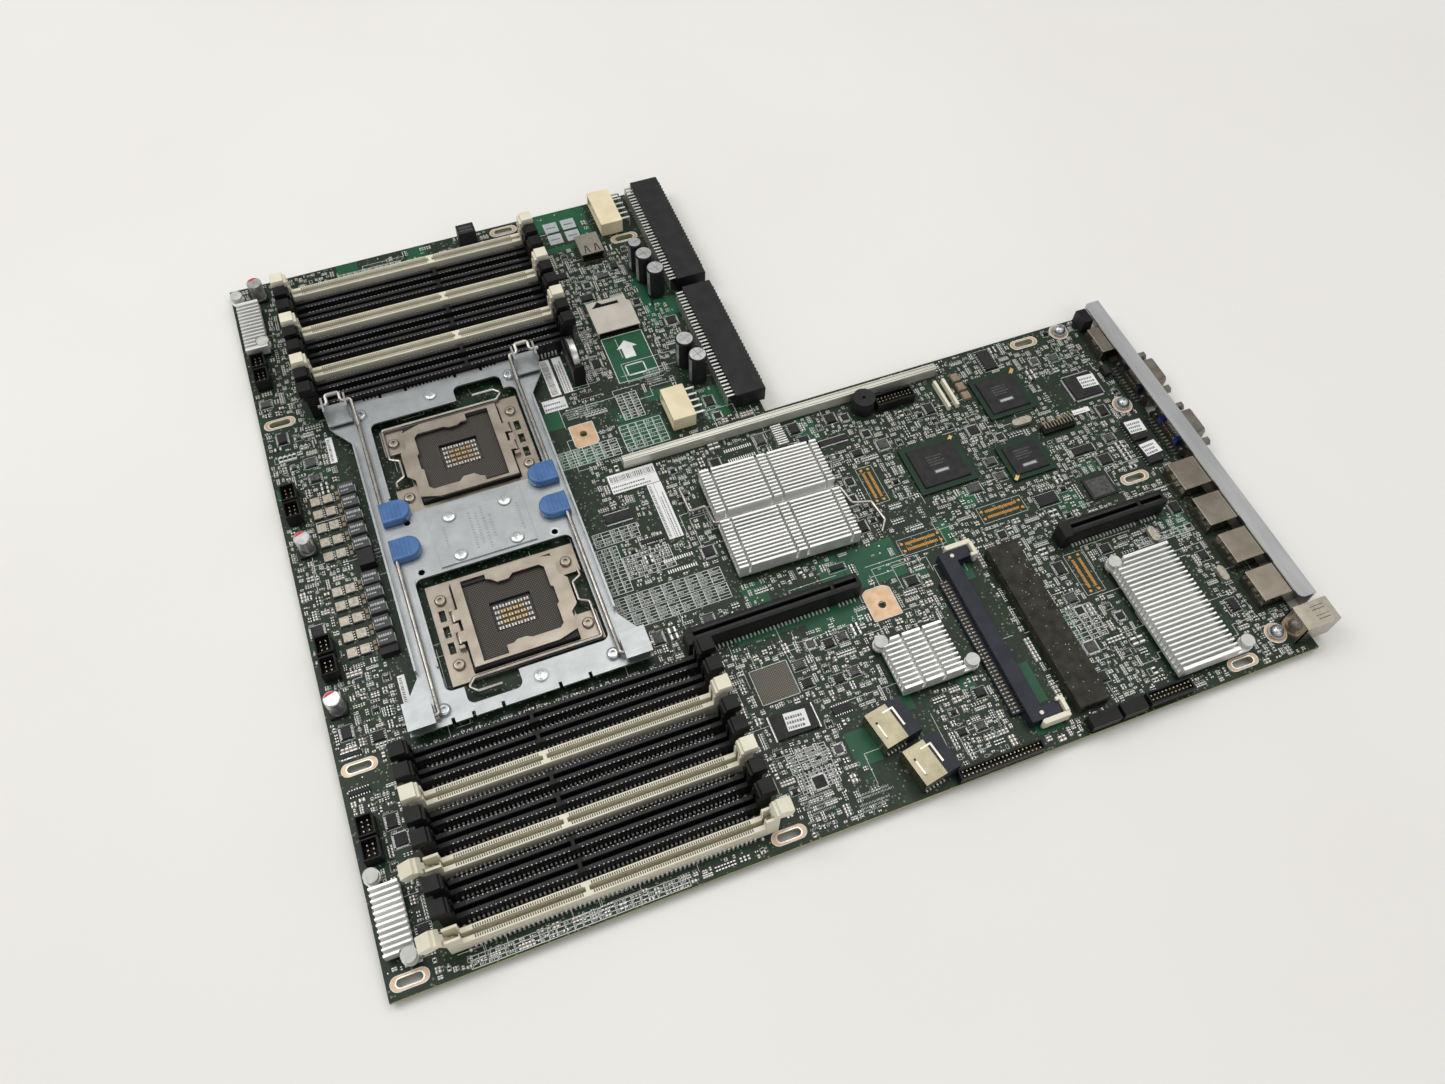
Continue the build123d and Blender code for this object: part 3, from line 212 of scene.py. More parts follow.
# Key, name, dark and light colour, and then the other values of plain() as far as they differ.
for key, *values in (
    ("pour", "solder_mask_over_copper", (0.005, 0.062, 0.024), (0.010, 0.095, 0.042), 0.4, 0, 9,
     0.6, 0.3, 0.3),
    ("carrier", "chip_carrier", (0.003, 0.019, 0.010), (0.005, 0.032, 0.017), 0.4, 0, 7, 0.35,
     0.15, 0.3),
    ("white_ink", "white_ink", (0.58, 0.60, 0.59), (0.78, 0.80, 0.79), 0.7, 0, 5, 0.35, 0.05),
    ("paper", "label_paper", (0.74, 0.74, 0.75), (0.82, 0.82, 0.82), 0.55, 0, 8, 0.35, 0.05),
    ("grey_ink", "grey_ink", (0.34, 0.37, 0.38), (0.44, 0.47, 0.48), 0.6, 0, 5, 0.35, 0.05),
    ("print", "grey_print", (0.10, 0.10, 0.11), (0.20, 0.20, 0.21), 0.6, 0, 2),
    ("ivory", "ivory_nylon", (0.68, 0.64, 0.50), (0.79, 0.75, 0.61), 0.42, 0, 14, 0.5, 0.12),
    ("natural", "natural_nylon", (0.72, 0.62, 0.41), (0.82, 0.74, 0.53), 0.4, 0, 10, 0.5, 0.12),
    ("black", "black_nylon", (0.005, 0.005, 0.005), (0.013, 0.013, 0.013), 0.42, 0, 9, 0.35, 0.25,
     0.2),
    ("satin_black", "moulded_black", (0.008, 0.008, 0.009), (0.018, 0.018, 0.019), 0.5, 0, 7, 0.3,
     0.35, 0.3),
    ("navy", "navy_nylon", (0.008, 0.010, 0.018), (0.018, 0.022, 0.036), 0.45, 0, 7, 0.35, 0.2,
     0.3),
    ("epoxy", "chip_epoxy", (0.009, 0.009, 0.010), (0.022, 0.022, 0.022), 0.55, 0, 4, 0.2, 0.4,
     0.3),
    ("epoxy_grey", "chip_epoxy_worn", (0.04, 0.04, 0.04), (0.10, 0.10, 0.10), 0.6, 0, 1.6, 0.25,
     0.4, 0.3),
    ("nickel", "warm_nickel", (0.30, 0.26, 0.21), (0.44, 0.39, 0.33), 0.34, 0.9, 11, 0.5, 0.12),
    ("wire", "spring_steel", (0.34, 0.32, 0.29), (0.52, 0.49, 0.45), 0.24, 1, 6, 0.4, 0.1),
    ("tin", "tin_plate", (0.62, 0.62, 0.60), (0.86, 0.86, 0.84), 0.32, 0.75, 1.5, 0.3, 0.2),
    ("solder", "solder", (0.50, 0.50, 0.49), (0.88, 0.88, 0.86), 0.36, 0.5, 0.9, 0.25, 0.3),
    ("bar_tin", "dull_tin_bar", (0.56, 0.55, 0.48), (0.76, 0.75, 0.67), 0.42, 0.55, 7, 0.6, 0.12,
     0.5, 0.08, (0.08, 1, 1)),
    ("steel", "galvanised_sheet", (0.34, 0.35, 0.355), (0.47, 0.48, 0.485), 0.44, 0.85, 8, 0.5,
     0.15, 0.5, 0.08, (1, 0.15, 1)),
    ("shell", "gold_nickel_shell", (0.22, 0.195, 0.135), (0.31, 0.28, 0.20), 0.28, 0.95, 6, 0.4,
     0.12),
    ("jack", "brown_silver_shell", (0.25, 0.215, 0.175), (0.33, 0.29, 0.24), 0.2, 1, 8, 0.6, 0.08,
     0.5, 0.04),
    ("port_steel", "port_steel", (0.17, 0.155, 0.13), (0.27, 0.25, 0.21), 0.3, 0.95, 6, 0.5, 0.1),
    ("usb_steel", "usb_steel", (0.33, 0.30, 0.245), (0.47, 0.43, 0.36), 0.26, 0.95, 6, 0.6, 0.08),
    ("silver", "bright_steel_shell", (0.44, 0.41, 0.36), (0.60, 0.57, 0.51), 0.28, 0.95, 6, 0.6,
     0.08),
    ("card", "card_slot_cover", (0.50, 0.47, 0.41), (0.60, 0.57, 0.50), 0.4, 0.55, 12, 0.6, 0.1),
    ("alu", "extruded_aluminium", (0.74, 0.75, 0.74), (0.92, 0.92, 0.90), 0.38, 0.6, 9, 0.35, 0.2,
     0.5, 0.08, (0.06, 1, 1)),
    ("can", "drawn_aluminium_can", (0.48, 0.48, 0.48), (0.68, 0.68, 0.68), 0.3, 0.9, 3, 0.4, 0.1),
    ("copper", "bare_copper", (0.50, 0.33, 0.20), (0.66, 0.46, 0.31), 0.42, 0.6, 5, 0.6, 0.2),
    ("gold", "gold_flash", (0.58, 0.38, 0.12), (0.80, 0.56, 0.24), 0.34, 0.9, 1.2, 0.3, 0.2),
    ("pin", "dull_pin", (0.20, 0.17, 0.11), (0.42, 0.37, 0.27), 0.34, 0.9, 1.2, 0.3, 0.2),
    ("blue", "blue_grip", (0.04, 0.125, 0.31), (0.065, 0.17, 0.40), 0.36, 0, 6, 0.5, 0.25),
    ("red", "red_vent_mark", (0.50, 0.02, 0.03), (0.62, 0.04, 0.05), 0.5, 0, 2),
    ("tan", "ceramic_tan", (0.17, 0.125, 0.08), (0.32, 0.25, 0.17), 0.5, 0, 1),
    ("tan_tin", "tinned_driver_tops", (0.28, 0.25, 0.20), (0.52, 0.48, 0.41), 0.4, 0.6, 1.5, 0.3,
     0.25),
    ("grey_part", "film_grey", (0.09, 0.09, 0.085), (0.17, 0.17, 0.16), 0.5, 0, 1),
    ("ferrite", "ferrite_block", (0.035, 0.036, 0.037), (0.075, 0.076, 0.078), 0.6, 0, 1.6, 0.3,
     0.5, 0.4),
    ("nylon_white", "white_nylon", (0.46, 0.47, 0.44), (0.60, 0.61, 0.58), 0.4, 0, 4),
    ("video_blue", "video_blue", (0.008, 0.014, 0.10), (0.014, 0.024, 0.16), 0.45, 0, 3),
    ("orange", "bare_gold_pads", (0.46, 0.20, 0.04), (0.62, 0.32, 0.08), 0.4, 0.6, 1.2, 0.3, 0.2),
    ("screw", "zinc_screw", (0.42, 0.44, 0.46), (0.60, 0.62, 0.64), 0.26, 0.95, 3, 0.4, 0.12),
    ("cell", "stainless_cell", (0.42, 0.42, 0.42), (0.60, 0.60, 0.59), 0.28, 0.95, 5, 0.3, 0.12),
    # Lighter grey dashes on the black socket and riser tops are painted highlights. The same grey
    # also draws ribs on the module socket and thin lines along the bus bar.
    ("black_relief", "black_relief", (0.020, 0.022, 0.022), (0.045, 0.047, 0.047), 0.5, 0, 2, 0.35,
     0.2, 0.3),
    ("ivory_shadow", "ivory_shadow", (0.05, 0.045, 0.03), (0.13, 0.115, 0.08), 0.6, 0, 2, 0.35,
     0.2),
    # Metal contact tips on the black sockets, made brighter as painted glints.
    ("contact", "contact_spots", (0.30, 0.31, 0.30), (0.62, 0.63, 0.61), 0.4, 0.3, 1, 0.2),
    # Brighter metal for the clamp frame's bosses and hole rims: painted highlights.
    ("rivet", "pressed_rivet", (0.52, 0.54, 0.55), (0.70, 0.72, 0.73), 0.24, 0.9, 3, 0.3, 0.1),
    # Faint grey: print dashes on the clamp frame, and painted shade in the ring round each boss.
    ("stamp", "faint_stamp", (0.27, 0.285, 0.29), (0.34, 0.355, 0.36), 0.5, 0.6, 2, 0.3),
):
    M[key] = plain(*values)


# ---- mesh helpers ----------------------------------------------------------------------------


def circle(x, y, r, n):
    """A circle's outline."""
    turn = [math.tau * i / n for i in range(n)]
    return [(x + r * math.cos(a), y + r * math.sin(a)) for a in turn]


def obround(x, y, length, width, n=12):
    """The outline of an oblong slot along X."""
    r, half = width / 2, (length - width) / 2
    right = [math.pi * (i / n - 0.5) for i in range(n + 1)]
    outline = [(x + half + r * math.cos(a), y + r * math.sin(a)) for a in right]
    return outline + [(x - half - r * math.cos(a), y - r * math.sin(a)) for a in right]


def beside(centre, side, a, b):
    """The range from a to b, measured from a centre to its side 1 or -1."""
    return sorted((centre + side * a, centre + side * b))


def wide(centre, half):
    """The range that reaches as far on both sides of a centre."""
    return centre - half, centre + half


def walls(n):
    """The faces between two rings of n points, the second ring after the first."""
    return [(i, (i + 1) % n, n + (i + 1) % n, n + i) for i in range(n)]


class Mesh:
    """Collects faces in millimetres on the working axes, each with a material."""

    def __init__(self):
        self.names = []
        self.v, self.f, self.m = [], [], []
        self.move = None

    def add(self, points, faces, mat):
        if mat not in self.names:
            self.names.append(mat)
        base = len(self.v)
        if self.move is not None:
            points = [tuple(self.move @ Vector(p)) for p in points]
        self.v.extend(points)
        self.f.extend([base + i for i in face] for face in faces)
        self.m.extend([self.names.index(mat)] * len(faces))

    def box(self, x, y, z, mat, taper=0.0, floor=True):
        """A box whose top is smaller by the taper, with or without its bottom face."""
        (a, b), (c, d), (e, g) = x, y, z
        t = taper
        points = [(a, c, e), (b, c, e), (b, d, e), (a, d, e),
                  (a + t, c + t, g), (b - t, c + t, g), (b - t, d - t, g), (a + t, d - t, g)]
        faces = [(4, 5, 6, 7), (0, 1, 5, 4), (1, 2, 6, 5), (2, 3, 7, 6), (3, 0, 4, 7)]
        self.add(points, faces + ([(3, 2, 1, 0)] if floor else []), mat)

    def boxes(self, mat, *rows):
        """Plain boxes, each from x0, x1, y0, y1, z0, z1."""
        for x0, x1, y0, y1, z0, z1 in rows:
            self.box((x0, x1), (y0, y1), (z0, z1), mat)

    def rect(self, x, y, z, mat):
        points = [(x[0], y[0], z), (x[1], y[0], z), (x[1], y[1], z), (x[0], y[1], z)]
        self.add(points, [(0, 1, 2, 3)], mat)

    def prism(self, outline, z, mat, top=None):
        """An upright prism, or a frustum where the top has its own outline."""
        n = len(outline)
        points = [(*p, z[0]) for p in outline] + [(*p, z[1]) for p in top or outline]
        faces = [tuple(range(n, 2 * n)), tuple(range(n - 1, -1, -1))]
        self.add(points, faces + walls(n), mat)

    def disc(self, x, y, z, r, mat, n, top=None):
        """An upright cylinder, or a cone frustum with a top radius."""
        self.prism(circle(x, y, r, n), z, mat, circle(x, y, r if top is None else top, n))

    def dome(self, x, y, z, r, height, mat, n=6):
        points = [(*p, z) for p in circle(x, y, r, n)]
        points += [(*p, z + 0.75 * height) for p in circle(x, y, 0.6 * r, n)]
        points.append((x, y, z + height))
        crown = [(n + i, n + (i + 1) % n, 2 * n) for i in range(n)]
        self.add(points, walls(n) + crown, mat)

    def ring(self, outer, inner, z, mat):
        """A flat band between two outlines with the same number of points."""
        self.add([(*p, z) for p in outer + inner], walls(len(outer)), mat)

    def frame(self, x, y, z, w, mat):
        """The four lines of a printed box."""
        self.rect(x, (y[0], y[0] + w), z, mat)
        self.rect(x, (y[1] - w, y[1]), z, mat)
        self.rect((x[0], x[0] + w), y, z, mat)
        self.rect((x[1] - w, x[1]), y, z, mat)


def about(x, y, degrees):
    """A turn in plan about a point, to set as a Mesh's move."""
    return Matrix.Translation((x, y, 0)) @ Matrix.Rotation(math.radians(degrees), 4, "Z")


def dashes(at, end, low, high, gap):
    """The start and length of each dash in a line of random dashes."""
    while at < end:
        dash = rng.uniform(low, high)
        yield at, dash
        at += dash + gap


def add_bevel(piece, width):
    m = piece.modifiers.new("edge", "BEVEL")
    m.width, m.segments = width / MM, 2
    m.limit_method, m.angle_limit = "ANGLE", math.radians(42)


def finish_mesh(mesh, name, slot, body="board", bevel=0.0, smooth=None, replaces=None):
    """Make the collected faces one piece, on its body. The slot argument is not used."""
    data = bpy.data.meshes.new(name)
    points = (np.array(mesh.v, float) - SHIFT) / MM
    data.from_pydata(points.tolist(), [], mesh.f)
    for key in mesh.names:
        data.materials.append(M[key])
    data.polygons.foreach_set("material_index", mesh.m)
    data.update()
    piece = bpy.data.objects.new(name, data)
    bpy.context.scene.collection.objects.link(piece)
    if smooth:
        data.shade_smooth()
        data.set_sharp_from_angle(angle=math.radians(smooth))
    if bevel:
        add_bevel(piece, bevel)
    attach(piece, body)
    if replaces:
        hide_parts(replaces)


def dress(node, key, bevel=0.0):
    """Give a CAD node its material, and break its sharp edges a little."""
    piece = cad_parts[node]
    for place in piece.material_slots:
        place.link = "OBJECT"
        place.material = M[key]
    if bevel:
        weld = piece.modifiers.new("weld", "WELD")
        weld.merge_threshold = 2e-5
        add_bevel(piece, bevel)


# ---- what stands where -----------------------------------------------------------------------

PITCH = 10.16   # between memory sockets
NEAR_ROWS = [94.0 - PITCH * n for n in range(9)]
FAR_ROWS = [385.3 - PITCH * n for n in range(9)]
WHITE = {("near", n) for n in (2, 5, 8)} | {("far", n) for n in (0, 3, 6)}
SLOTS = ((9.7, 6.2), (174.8, 6.2), (407.4, 6.2), (9.6, 102.0), (416.6, 116.2), (10.2, 304.6),
         (407.3, 217.6), (158.5, 402.9), (224.0, 373.2))
PANEL_SCREWS = ((430.0, 218.0), (436.2, 160.2), (431.3, 13.8))
RISER_TOP = 11.22
RISERS = (((166.6, 252.7), 102.4, 238.7), ((361.8, 417.2), 92.4, 402.5))   # x, near face, key

# Plan areas that hold something large: x0, x1, y0, y1.
TAKEN = (
    (24, 175, 7, 99), (24, 175, 299.5, 391), (33, 149, 103, 302), (201, 267, 129, 192),
    (246, 290, 45, 77), (370, 415, 8, 77), (1, 16, 14, 47), (1, 16, 351, 392),
    (232, 256, 228, 408), (198, 222, 225, 252), (208, 232, 376, 408), (169, 351, 212.5, 218.5),
    (163, 254.5, 99.6, 110.8), (356.5, 419, 89.4, 101), (290, 315, 8, 112), (319, 338, 10, 103.5),
    (222, 259, 1, 47), (429, 447, 26, 115), (441, 447, 114, 224), (435, 447, 3, 20),
    (436.5, 447, 178, 210), (427, 433, 9, 18), (426, 434, 214, 222), (432, 440, 156, 164.5),
    (184, 211, 301, 328), (193, 209.5, 359, 378), (161, 171, 273, 299), (216, 233, 251, 276),
    (218, 233, 318.5, 353), (129.5, 143.5, 393, 404), (0.5, 12, 126, 138), (4, 15, 215, 227),
    (10, 21, 392, 403), (29, 40, 149, 252.5), (15, 28.5, 153, 195), (15, 28.5, 210, 251),
    (2.5, 12.5, 56, 78), (2.5, 12.5, 146, 169), (2.5, 12.5, 237, 259), (2.5, 12.5, 329, 351),
    (250.5, 298, 0, 6.5), (320, 352, 0, 8), (352, 378, 0, 8.5), (307.5, 332.5, 200.5, 211),
    (384, 406, 154, 163), (295.5, 309.5, 200, 214), (306, 341.5, 142.5, 176),
    (362.5, 393, 173.5, 204), (355, 382, 134, 159.5), (411, 434, 168, 190), (185, 209.2, 45.6, 61),
    (425, 441, 119, 151), (149.5, 167, 181.5, 191.5), (186, 206.5, 65, 84.5),
    (150.5, 165, 233, 250), (253, 269, 86, 105), (214, 226, 47.5, 56), (270, 288, 187, 197),
    (159, 186, 199, 213), (176, 186, 164, 200), (148, 162, 271, 299), (141, 157, 261, 271),
    (185, 211, 267, 302), (139, 200, 122.5, 143), (139, 153, 143, 172), (139, 174, 222.5, 235),
    (175, 200, 222.5, 243), (180, 193, 243, 262), (178, 201, 379, 402), (247, 258, 196, 212.5),
    (343, 353, 187, 211), (355, 362, 190, 214), (371, 385, 165, 175), (280, 292, 147, 172),
    (281, 308, 114, 126), (328, 357, 116, 129), (356, 369, 62, 89), (221, 239, 197, 208),
    (169, 187, 145, 156), (386, 405, 108, 126), (401, 412, 168, 192), (408, 426, 111, 121),
    (399, 418, 213, 223),
)

# Plain areas with print and vias but few parts.
CALM = (
    (250, 281, 100, 128), (281, 309, 126, 142), (186, 252, 94, 102), (207, 228, 6, 23),
    (214, 230, 22, 41), (171, 205, 243, 273), (139, 181, 243, 262), (174, 210, 375, 408),
    (200, 212, 252, 268), (139, 202, 172, 182), (205, 262, 112.5, 120), (298, 309, 8, 100),
    (0, 24, 88, 100), (60, 128, 400, 408), (172, 190, 98, 104), (139, 152, 196, 222),
)

# Bright mask over unbroken copper.
POURS = (
    (251.5, 281, 106, 128), (188, 251.5, 97.5, 101.8), (222, 252, 89, 97.5), (215.5, 228, 23, 40),
    (200, 212, 112.8, 127.5), (239, 251, 112.8, 127.8), (298.5, 312, 8, 20),
    (298.5, 311.6, 22, 43), (299, 311, 92, 100.5), (305, 314, 104, 112.5), (174, 208, 393, 408),
    (174, 201, 375, 379), (201.2, 208, 378, 393), (223, 236, 306, 320), (216, 222, 300, 340),
    (176, 200, 223, 242), (222, 235.5, 228, 250), (140, 164, 223, 234), (196, 212, 251, 258),
    (177, 186, 243, 248), (306, 312, 112.8, 128), (324, 334, 130, 141), (370, 384, 110, 121),
    (264, 274, 196, 212), (276, 284, 40, 46), (282, 290, 100, 106), (1, 8, 252, 262),
    (3, 9, 356, 362), (139.5, 150, 250, 262), (60, 72, 392.5, 407.5), (100, 112, 392.5, 407.5),
    (246, 252.5, 40, 48), (416, 428, 78, 90), (338, 344, 40, 60), (392, 402, 128, 134),
)

CELL = 0.5   # the plan is kept as a grid of square cells of this size
BOARD_X, BOARD_Y = 446, 407.4
HALF_X = 190   # print and small parts are one mesh in front of this line and one behind
taken = np.zeros((int(450 / CELL), int(412 / CELL)), bool)
calm = np.zeros_like(taken)


def cells(x0, x1, y0, y1):
    return (slice(max(0, int(x0 / CELL)), math.ceil(x1 / CELL)),
            slice(max(0, int(y0 / CELL)), math.ceil(y1 / CELL)))


OUTSIDE = ((BOARD_X, 450, 0, 412), (252.4, 450, 222.9, 412), (0, 450, BOARD_Y, 412),
           (0, 450, 0, 0.7), (0, 0.7, 0, 412))
for area in (*TAKEN, *OUTSIDE):
    taken[cells(*area)] = True
for x, y in SLOTS:
    taken[cells(*wide(x, 9), *wide(y, 4))] = True
for area in CALM:
    calm[cells(*area)] = True


# ---- print, passives and small packages ------------------------------------------------------

INK_Z, STROKE, OUTLINE = 0.02, 0.17, 0.14   # height of print, and widths of its lines
ink = [Mesh(), Mesh()]
parts = [Mesh(), Mesh()]
small = Mesh()


def half(meshes, x):
    """The front or the rear mesh of a pair."""
    return meshes[0 if x < HALF_X else 1]


def ink_frame(x, y, w, pen):
    pen.frame(x, y, INK_Z, w, "white_ink")


def line_x(pen, x, y, half_width):
    """A white line along X."""
    pen.rect(x, wide(y, half_width), INK_Z, "white_ink")


def line_y(pen, x, y, half_width):
    """A white line along Y."""
    pen.rect(wide(x, half_width), y, INK_Z, "white_ink")


def marks(pen, x, y, count, tall, upright=False):
    """A run of small printed characters, none of them a real letter."""
    for n in range(count):
        a = n * tall * 0.78
        kind = rng.randrange(4)
        bars = [((a, a + STROKE), (0, tall))]
        if kind != 1:
            bars.append(((a, a + tall * 0.5), (tall - STROKE, tall)))
        if kind > 1:
            bars.append(((a, a + tall * 0.5), (tall * 0.4, tall * 0.4 + STROKE)))
        for bx, by in bars:
            if upright:
                px, py = (x - by[1], x - by[0]), (y + bx[0], y + bx[1])
            else:
                px, py = (x + bx[0], x + bx[1]), (y + by[0], y + by[1])
            pen.rect(px, py, INK_Z, "white_ink")


# Chip parts: length, width, height, body, share.
CHIPS = (
    (1.1, 0.6, 0.5, "tan", 26), (1.1, 0.6, 0.4, "epoxy", 26), (1.7, 0.85, 0.75, "tan", 16),
    (1.7, 0.85, 0.5, "epoxy", 18), (2.1, 1.3, 0.9, "tan", 5), (2.1, 1.3, 0.7, "grey_part", 3),
    (3.3, 1.7, 0.6, "epoxy", 3), (3.4, 2.7, 1.6, "epoxy_grey", 1),
)


def passive(mesh, x, y, size, upright):
    """A chip part: a body between two soldered ends."""
    length, width, height, body, _ = size
    end, out = length * 0.24, length / 2
    for a, b, mat, grow in ((-out - 0.12, -out + end, "solder", 0.04),
                            (-out + end, out - end, body, 0.0),
                            (out - end, out + 0.12, "solder", 0.04)):
        px, py = (a, b), (-width / 2 - grow, width / 2 + grow)
        if upright:
            px, py = py, px
        mesh.box((x + px[0], x + px[1]), (y + py[0], y + py[1]), (0, height + grow), mat,
                 floor=False)


def place_rows(area, tries, density, words=0.62, counts=(1, 2, 2, 3, 4, 5, 7)):
    """Short rows of like parts, each with its printed outline or reference beside it."""
    x0, x1, y0, y1 = area
    weights = [c[4] for c in CHIPS]
    for _ in range(tries):
        size = rng.choices(CHIPS, weights)[0]
        upright = rng.random() < 0.5
        pitch = size[1] + 0.55 + (0.35 if rng.random() < 0.3 else 0)
        count = rng.choice(counts)
        text = rng.random() < words
        long = size[0] + 0.5
        deep = long + (1.2 if text else 0.1)
        run = count * pitch + 0.2
        w, h = (run, deep) if upright else (deep, run)
        x, y = rng.uniform(x0, x1 - w), rng.uniform(y0, y1 - h)
        where = cells(x, x + w, y, y + h)
        if taken[where].any() or (calm[where].any() and rng.random() > density):
            continue
        taken[where] = True
        mesh, pen = half(parts, x), half(ink, x)
        framed = rng.random() < 0.7
        for n in range(count):
            along = 0.1 + (n + 0.5) * pitch
            cx, cy = (x + along, y + long / 2) if upright else (x + long / 2, y + along)
            if rng.random() < 0.93:
                passive(mesh, cx, cy, size, upright)
            if framed:
                g = pitch / 2 - 0.02
                if upright:
                    ink_frame(wide(cx, g), (y, y + long), STROKE, pen)
                else:
                    ink_frame((x, x + long), wide(cy, g), STROKE, pen)
            if text and upright:
                marks(pen, cx + 0.42, y + long + 0.1, 2, 0.8, True)
            elif text:
                marks(pen, x + long + 0.1, cy - 0.4, 2, 0.8)


def small_chip(x, y, w, d, legs, mat, height=1.1, sides="x"):
    """A small moulded package with legs along two or four sides.

    Gives the mesh and the ranges for the line printed round it.
    """
    inset, leg = 0.9, (0.02, 0.4)
    small.box((x + inset, x + w - inset), (y + inset, y + d - inset), (0.15, height), mat, 0.12)
    for n in range(legs):
        a = (n + 0.5) / legs
        if "x" in sides:
            cy = y + inset + a * (d - 1.8)
            for p in ((x + 0.1, x + 0.95), (x + w - 0.95, x + w - 0.1)):
                small.box(p, wide(cy, 0.16), leg, "solder", floor=False)
        if "y" in sides:
            cx = x + inset + a * (w - 1.8)
            for p in ((y + 0.1, y + 0.95), (y + d - 0.95, y + d - 0.1)):
                small.box(wide(cx, 0.16), p, leg, "solder", floor=False)
    return half(ink, x), (x - 0.1, x + w + 0.1), (y - 0.1, y + d + 0.1)


# Small packages: width, depth, legs on a side, sides with legs.
PACKAGES = ((4.4, 3.4, 3, "x"), (6.8, 5.6, 4, "x"), (6.4, 7.6, 8, "x"), (5.6, 5.6, 6, "xy"),
            (7.4, 7.4, 9, "xy"), (3.6, 3.4, 2, "y"))


def place_packages(area, tries):
    """Small packages where nothing stands yet."""
    x0, x1, y0, y1 = area
    for _ in range(tries):
        w, d, legs, sides = rng.choice(PACKAGES)
        x, y = rng.uniform(x0, x1 - w), rng.uniform(y0, y1 - d)
        where = cells(x - 0.2, x + w + 0.2, y - 0.2, y + d + 1.4)
        if taken[where].any() or calm[where].any():
            continue
        taken[where] = True
        mat = rng.choice(("epoxy", "epoxy", "epoxy_grey"))
        pen, px, py = small_chip(x, y, w, d, legs, mat, rng.choice((0.9, 1.1, 1.5)), sides)
        ink_frame(px, py, OUTLINE, pen)
        marks(pen, x + 0.3, y + d + 0.25, 4, 0.9)


def table_of_print(x, y, columns, rows):
    """A printed settings table: ruled lines with marks in its cells."""
    pen = half(ink, x[0])
    w, h = (x[1] - x[0]) / columns, (y[1] - y[0]) / rows
    for n in range(rows + 1):
        line_x(pen, x, y[0] + n * h, OUTLINE)
    for n in range(columns + 1):
        line_y(pen, x[0] + n * w, y, 0.16)
    count = int((w - 0.8) / (h * 0.46))
    for i in range(columns):
        for j in range(rows):
            if count > 0 and rng.random() < 0.9:
                marks(pen, x[0] + i * w + 0.4, y[0] + j * h + h * 0.22,
                      rng.randint(max(1, count // 2), count), h * 0.56)


def block_of_print(x, y, line=1.5):
    """Close-set lines of small print."""
    for k in range(int((y[1] - y[0]) / line)):
        if rng.random() < 0.9:
            length = rng.uniform(0.5, 1.0) * (x[1] - x[0])
            marks(half(ink, x[0]), x[0] + rng.uniform(0, 1), y[0] + k * line + line * 0.2,
                  int(length / (line * 0.5)), line * 0.62)


for x, y, columns, rows in (
    ((140, 195), (133.4, 142), 9, 5), ((140, 195), (124, 132.4), 9, 5),
    ((140, 151.5), (144, 171), 3, 13), ((140, 172.5), (223.6, 234.4), 7, 6),
    ((176, 199), (223.6, 240.5), 5, 7), ((181, 192.4), (243.5, 261), 3, 9),
    ((188, 206), (20.5, 30), 9, 6), ((152, 176), (150, 163), 5, 6), ((187, 206), (30, 40), 4, 7),
    ((395, 428), (78, 82), 8, 2), ((338, 356), (42, 60), 4, 8), ((60, 96), (394, 400), 12, 3),
    ((34, 128), (1.0, 6.0), 26, 3), ((142, 165), (172.5, 180.5), 5, 4),
):
    table_of_print(x, y, columns, rows)
for x, y in (((171, 184), (280, 292)), ((208, 228), (3, 12)), ((186, 206), (10, 19)),
             ((152, 172), (252, 262)), ((200, 214), (262, 274)), ((184, 206), (4, 9)),
             ((176, 186), (300, 312))):
    block_of_print(x, y)

# Small packages at their own places: x, y, width, depth, legs on a side, and whether it is worn.
SMALL_CHIP_SPOTS = (
    (198.6, 97.5, 9.5, 5.5, 6), (225, 81.5, 6.5, 5.5, 4), (232.5, 82.5, 6, 5.5, 4, True),
    (222, 63, 6.5, 5.5, 4), (230.5, 64, 6, 5.5, 4, True), (276.5, 98, 7.5, 6, 5),
    (273, 19, 6, 5, 4, True), (263.5, 19.5, 6, 4.5, 4), (244, 118.5, 9.5, 4.5, 3),
    (330, 136, 9, 6.5, 6, True), (360, 116, 13, 8, 6), (393, 138, 14, 6, 9), (360, 205, 8, 10, 6),
    (377, 206, 9, 15, 8), (259, 203, 7, 8, 5), (280, 203, 7, 7, 5), (404, 128, 8, 7, 6),
    (16, 20, 7, 6, 4), (17, 110, 7, 6, 4), (17, 270, 7, 7, 5, True), (184, 331, 9, 6, 4),
    (176, 352, 8, 6, 4), (198, 345, 9, 5, 5, True), (208, 350, 6, 6, 4), (338, 20, 6, 6, 4),
    (345, 62, 7, 6, 5, True), (420, 60, 6, 6, 4), (418, 30, 6, 8, 4), (284, 178, 7, 5, 4),
)
for x, y, w, d, legs, *worn in SMALL_CHIP_SPOTS:
    where = cells(x, x + w, y, y + d)
    if not taken[where].any():
        taken[where] = True
        pen, px, py = small_chip(x, y, w, d, legs, "epoxy_grey" if worn else "epoxy")
        ink_frame(px, py, OUTLINE, pen)

# The board in plan without its notch, as two rectangles.
NEAR_AREA, FAR_AREA = (1, BOARD_X, 1, 222.6), (1, 252, 222.6, 407)
place_packages((1, BOARD_X, 1, 223), 700)
place_packages((1, 252, 223, 407), 400)
place_rows(NEAR_AREA, 90000, 0.01)
place_rows(FAR_AREA, 50000, 0.01)
place_rows(NEAR_AREA, 60000, 0.0, 0.15, (1, 1, 2))
place_rows(FAR_AREA, 30000, 0.0, 0.15, (1, 1, 2))

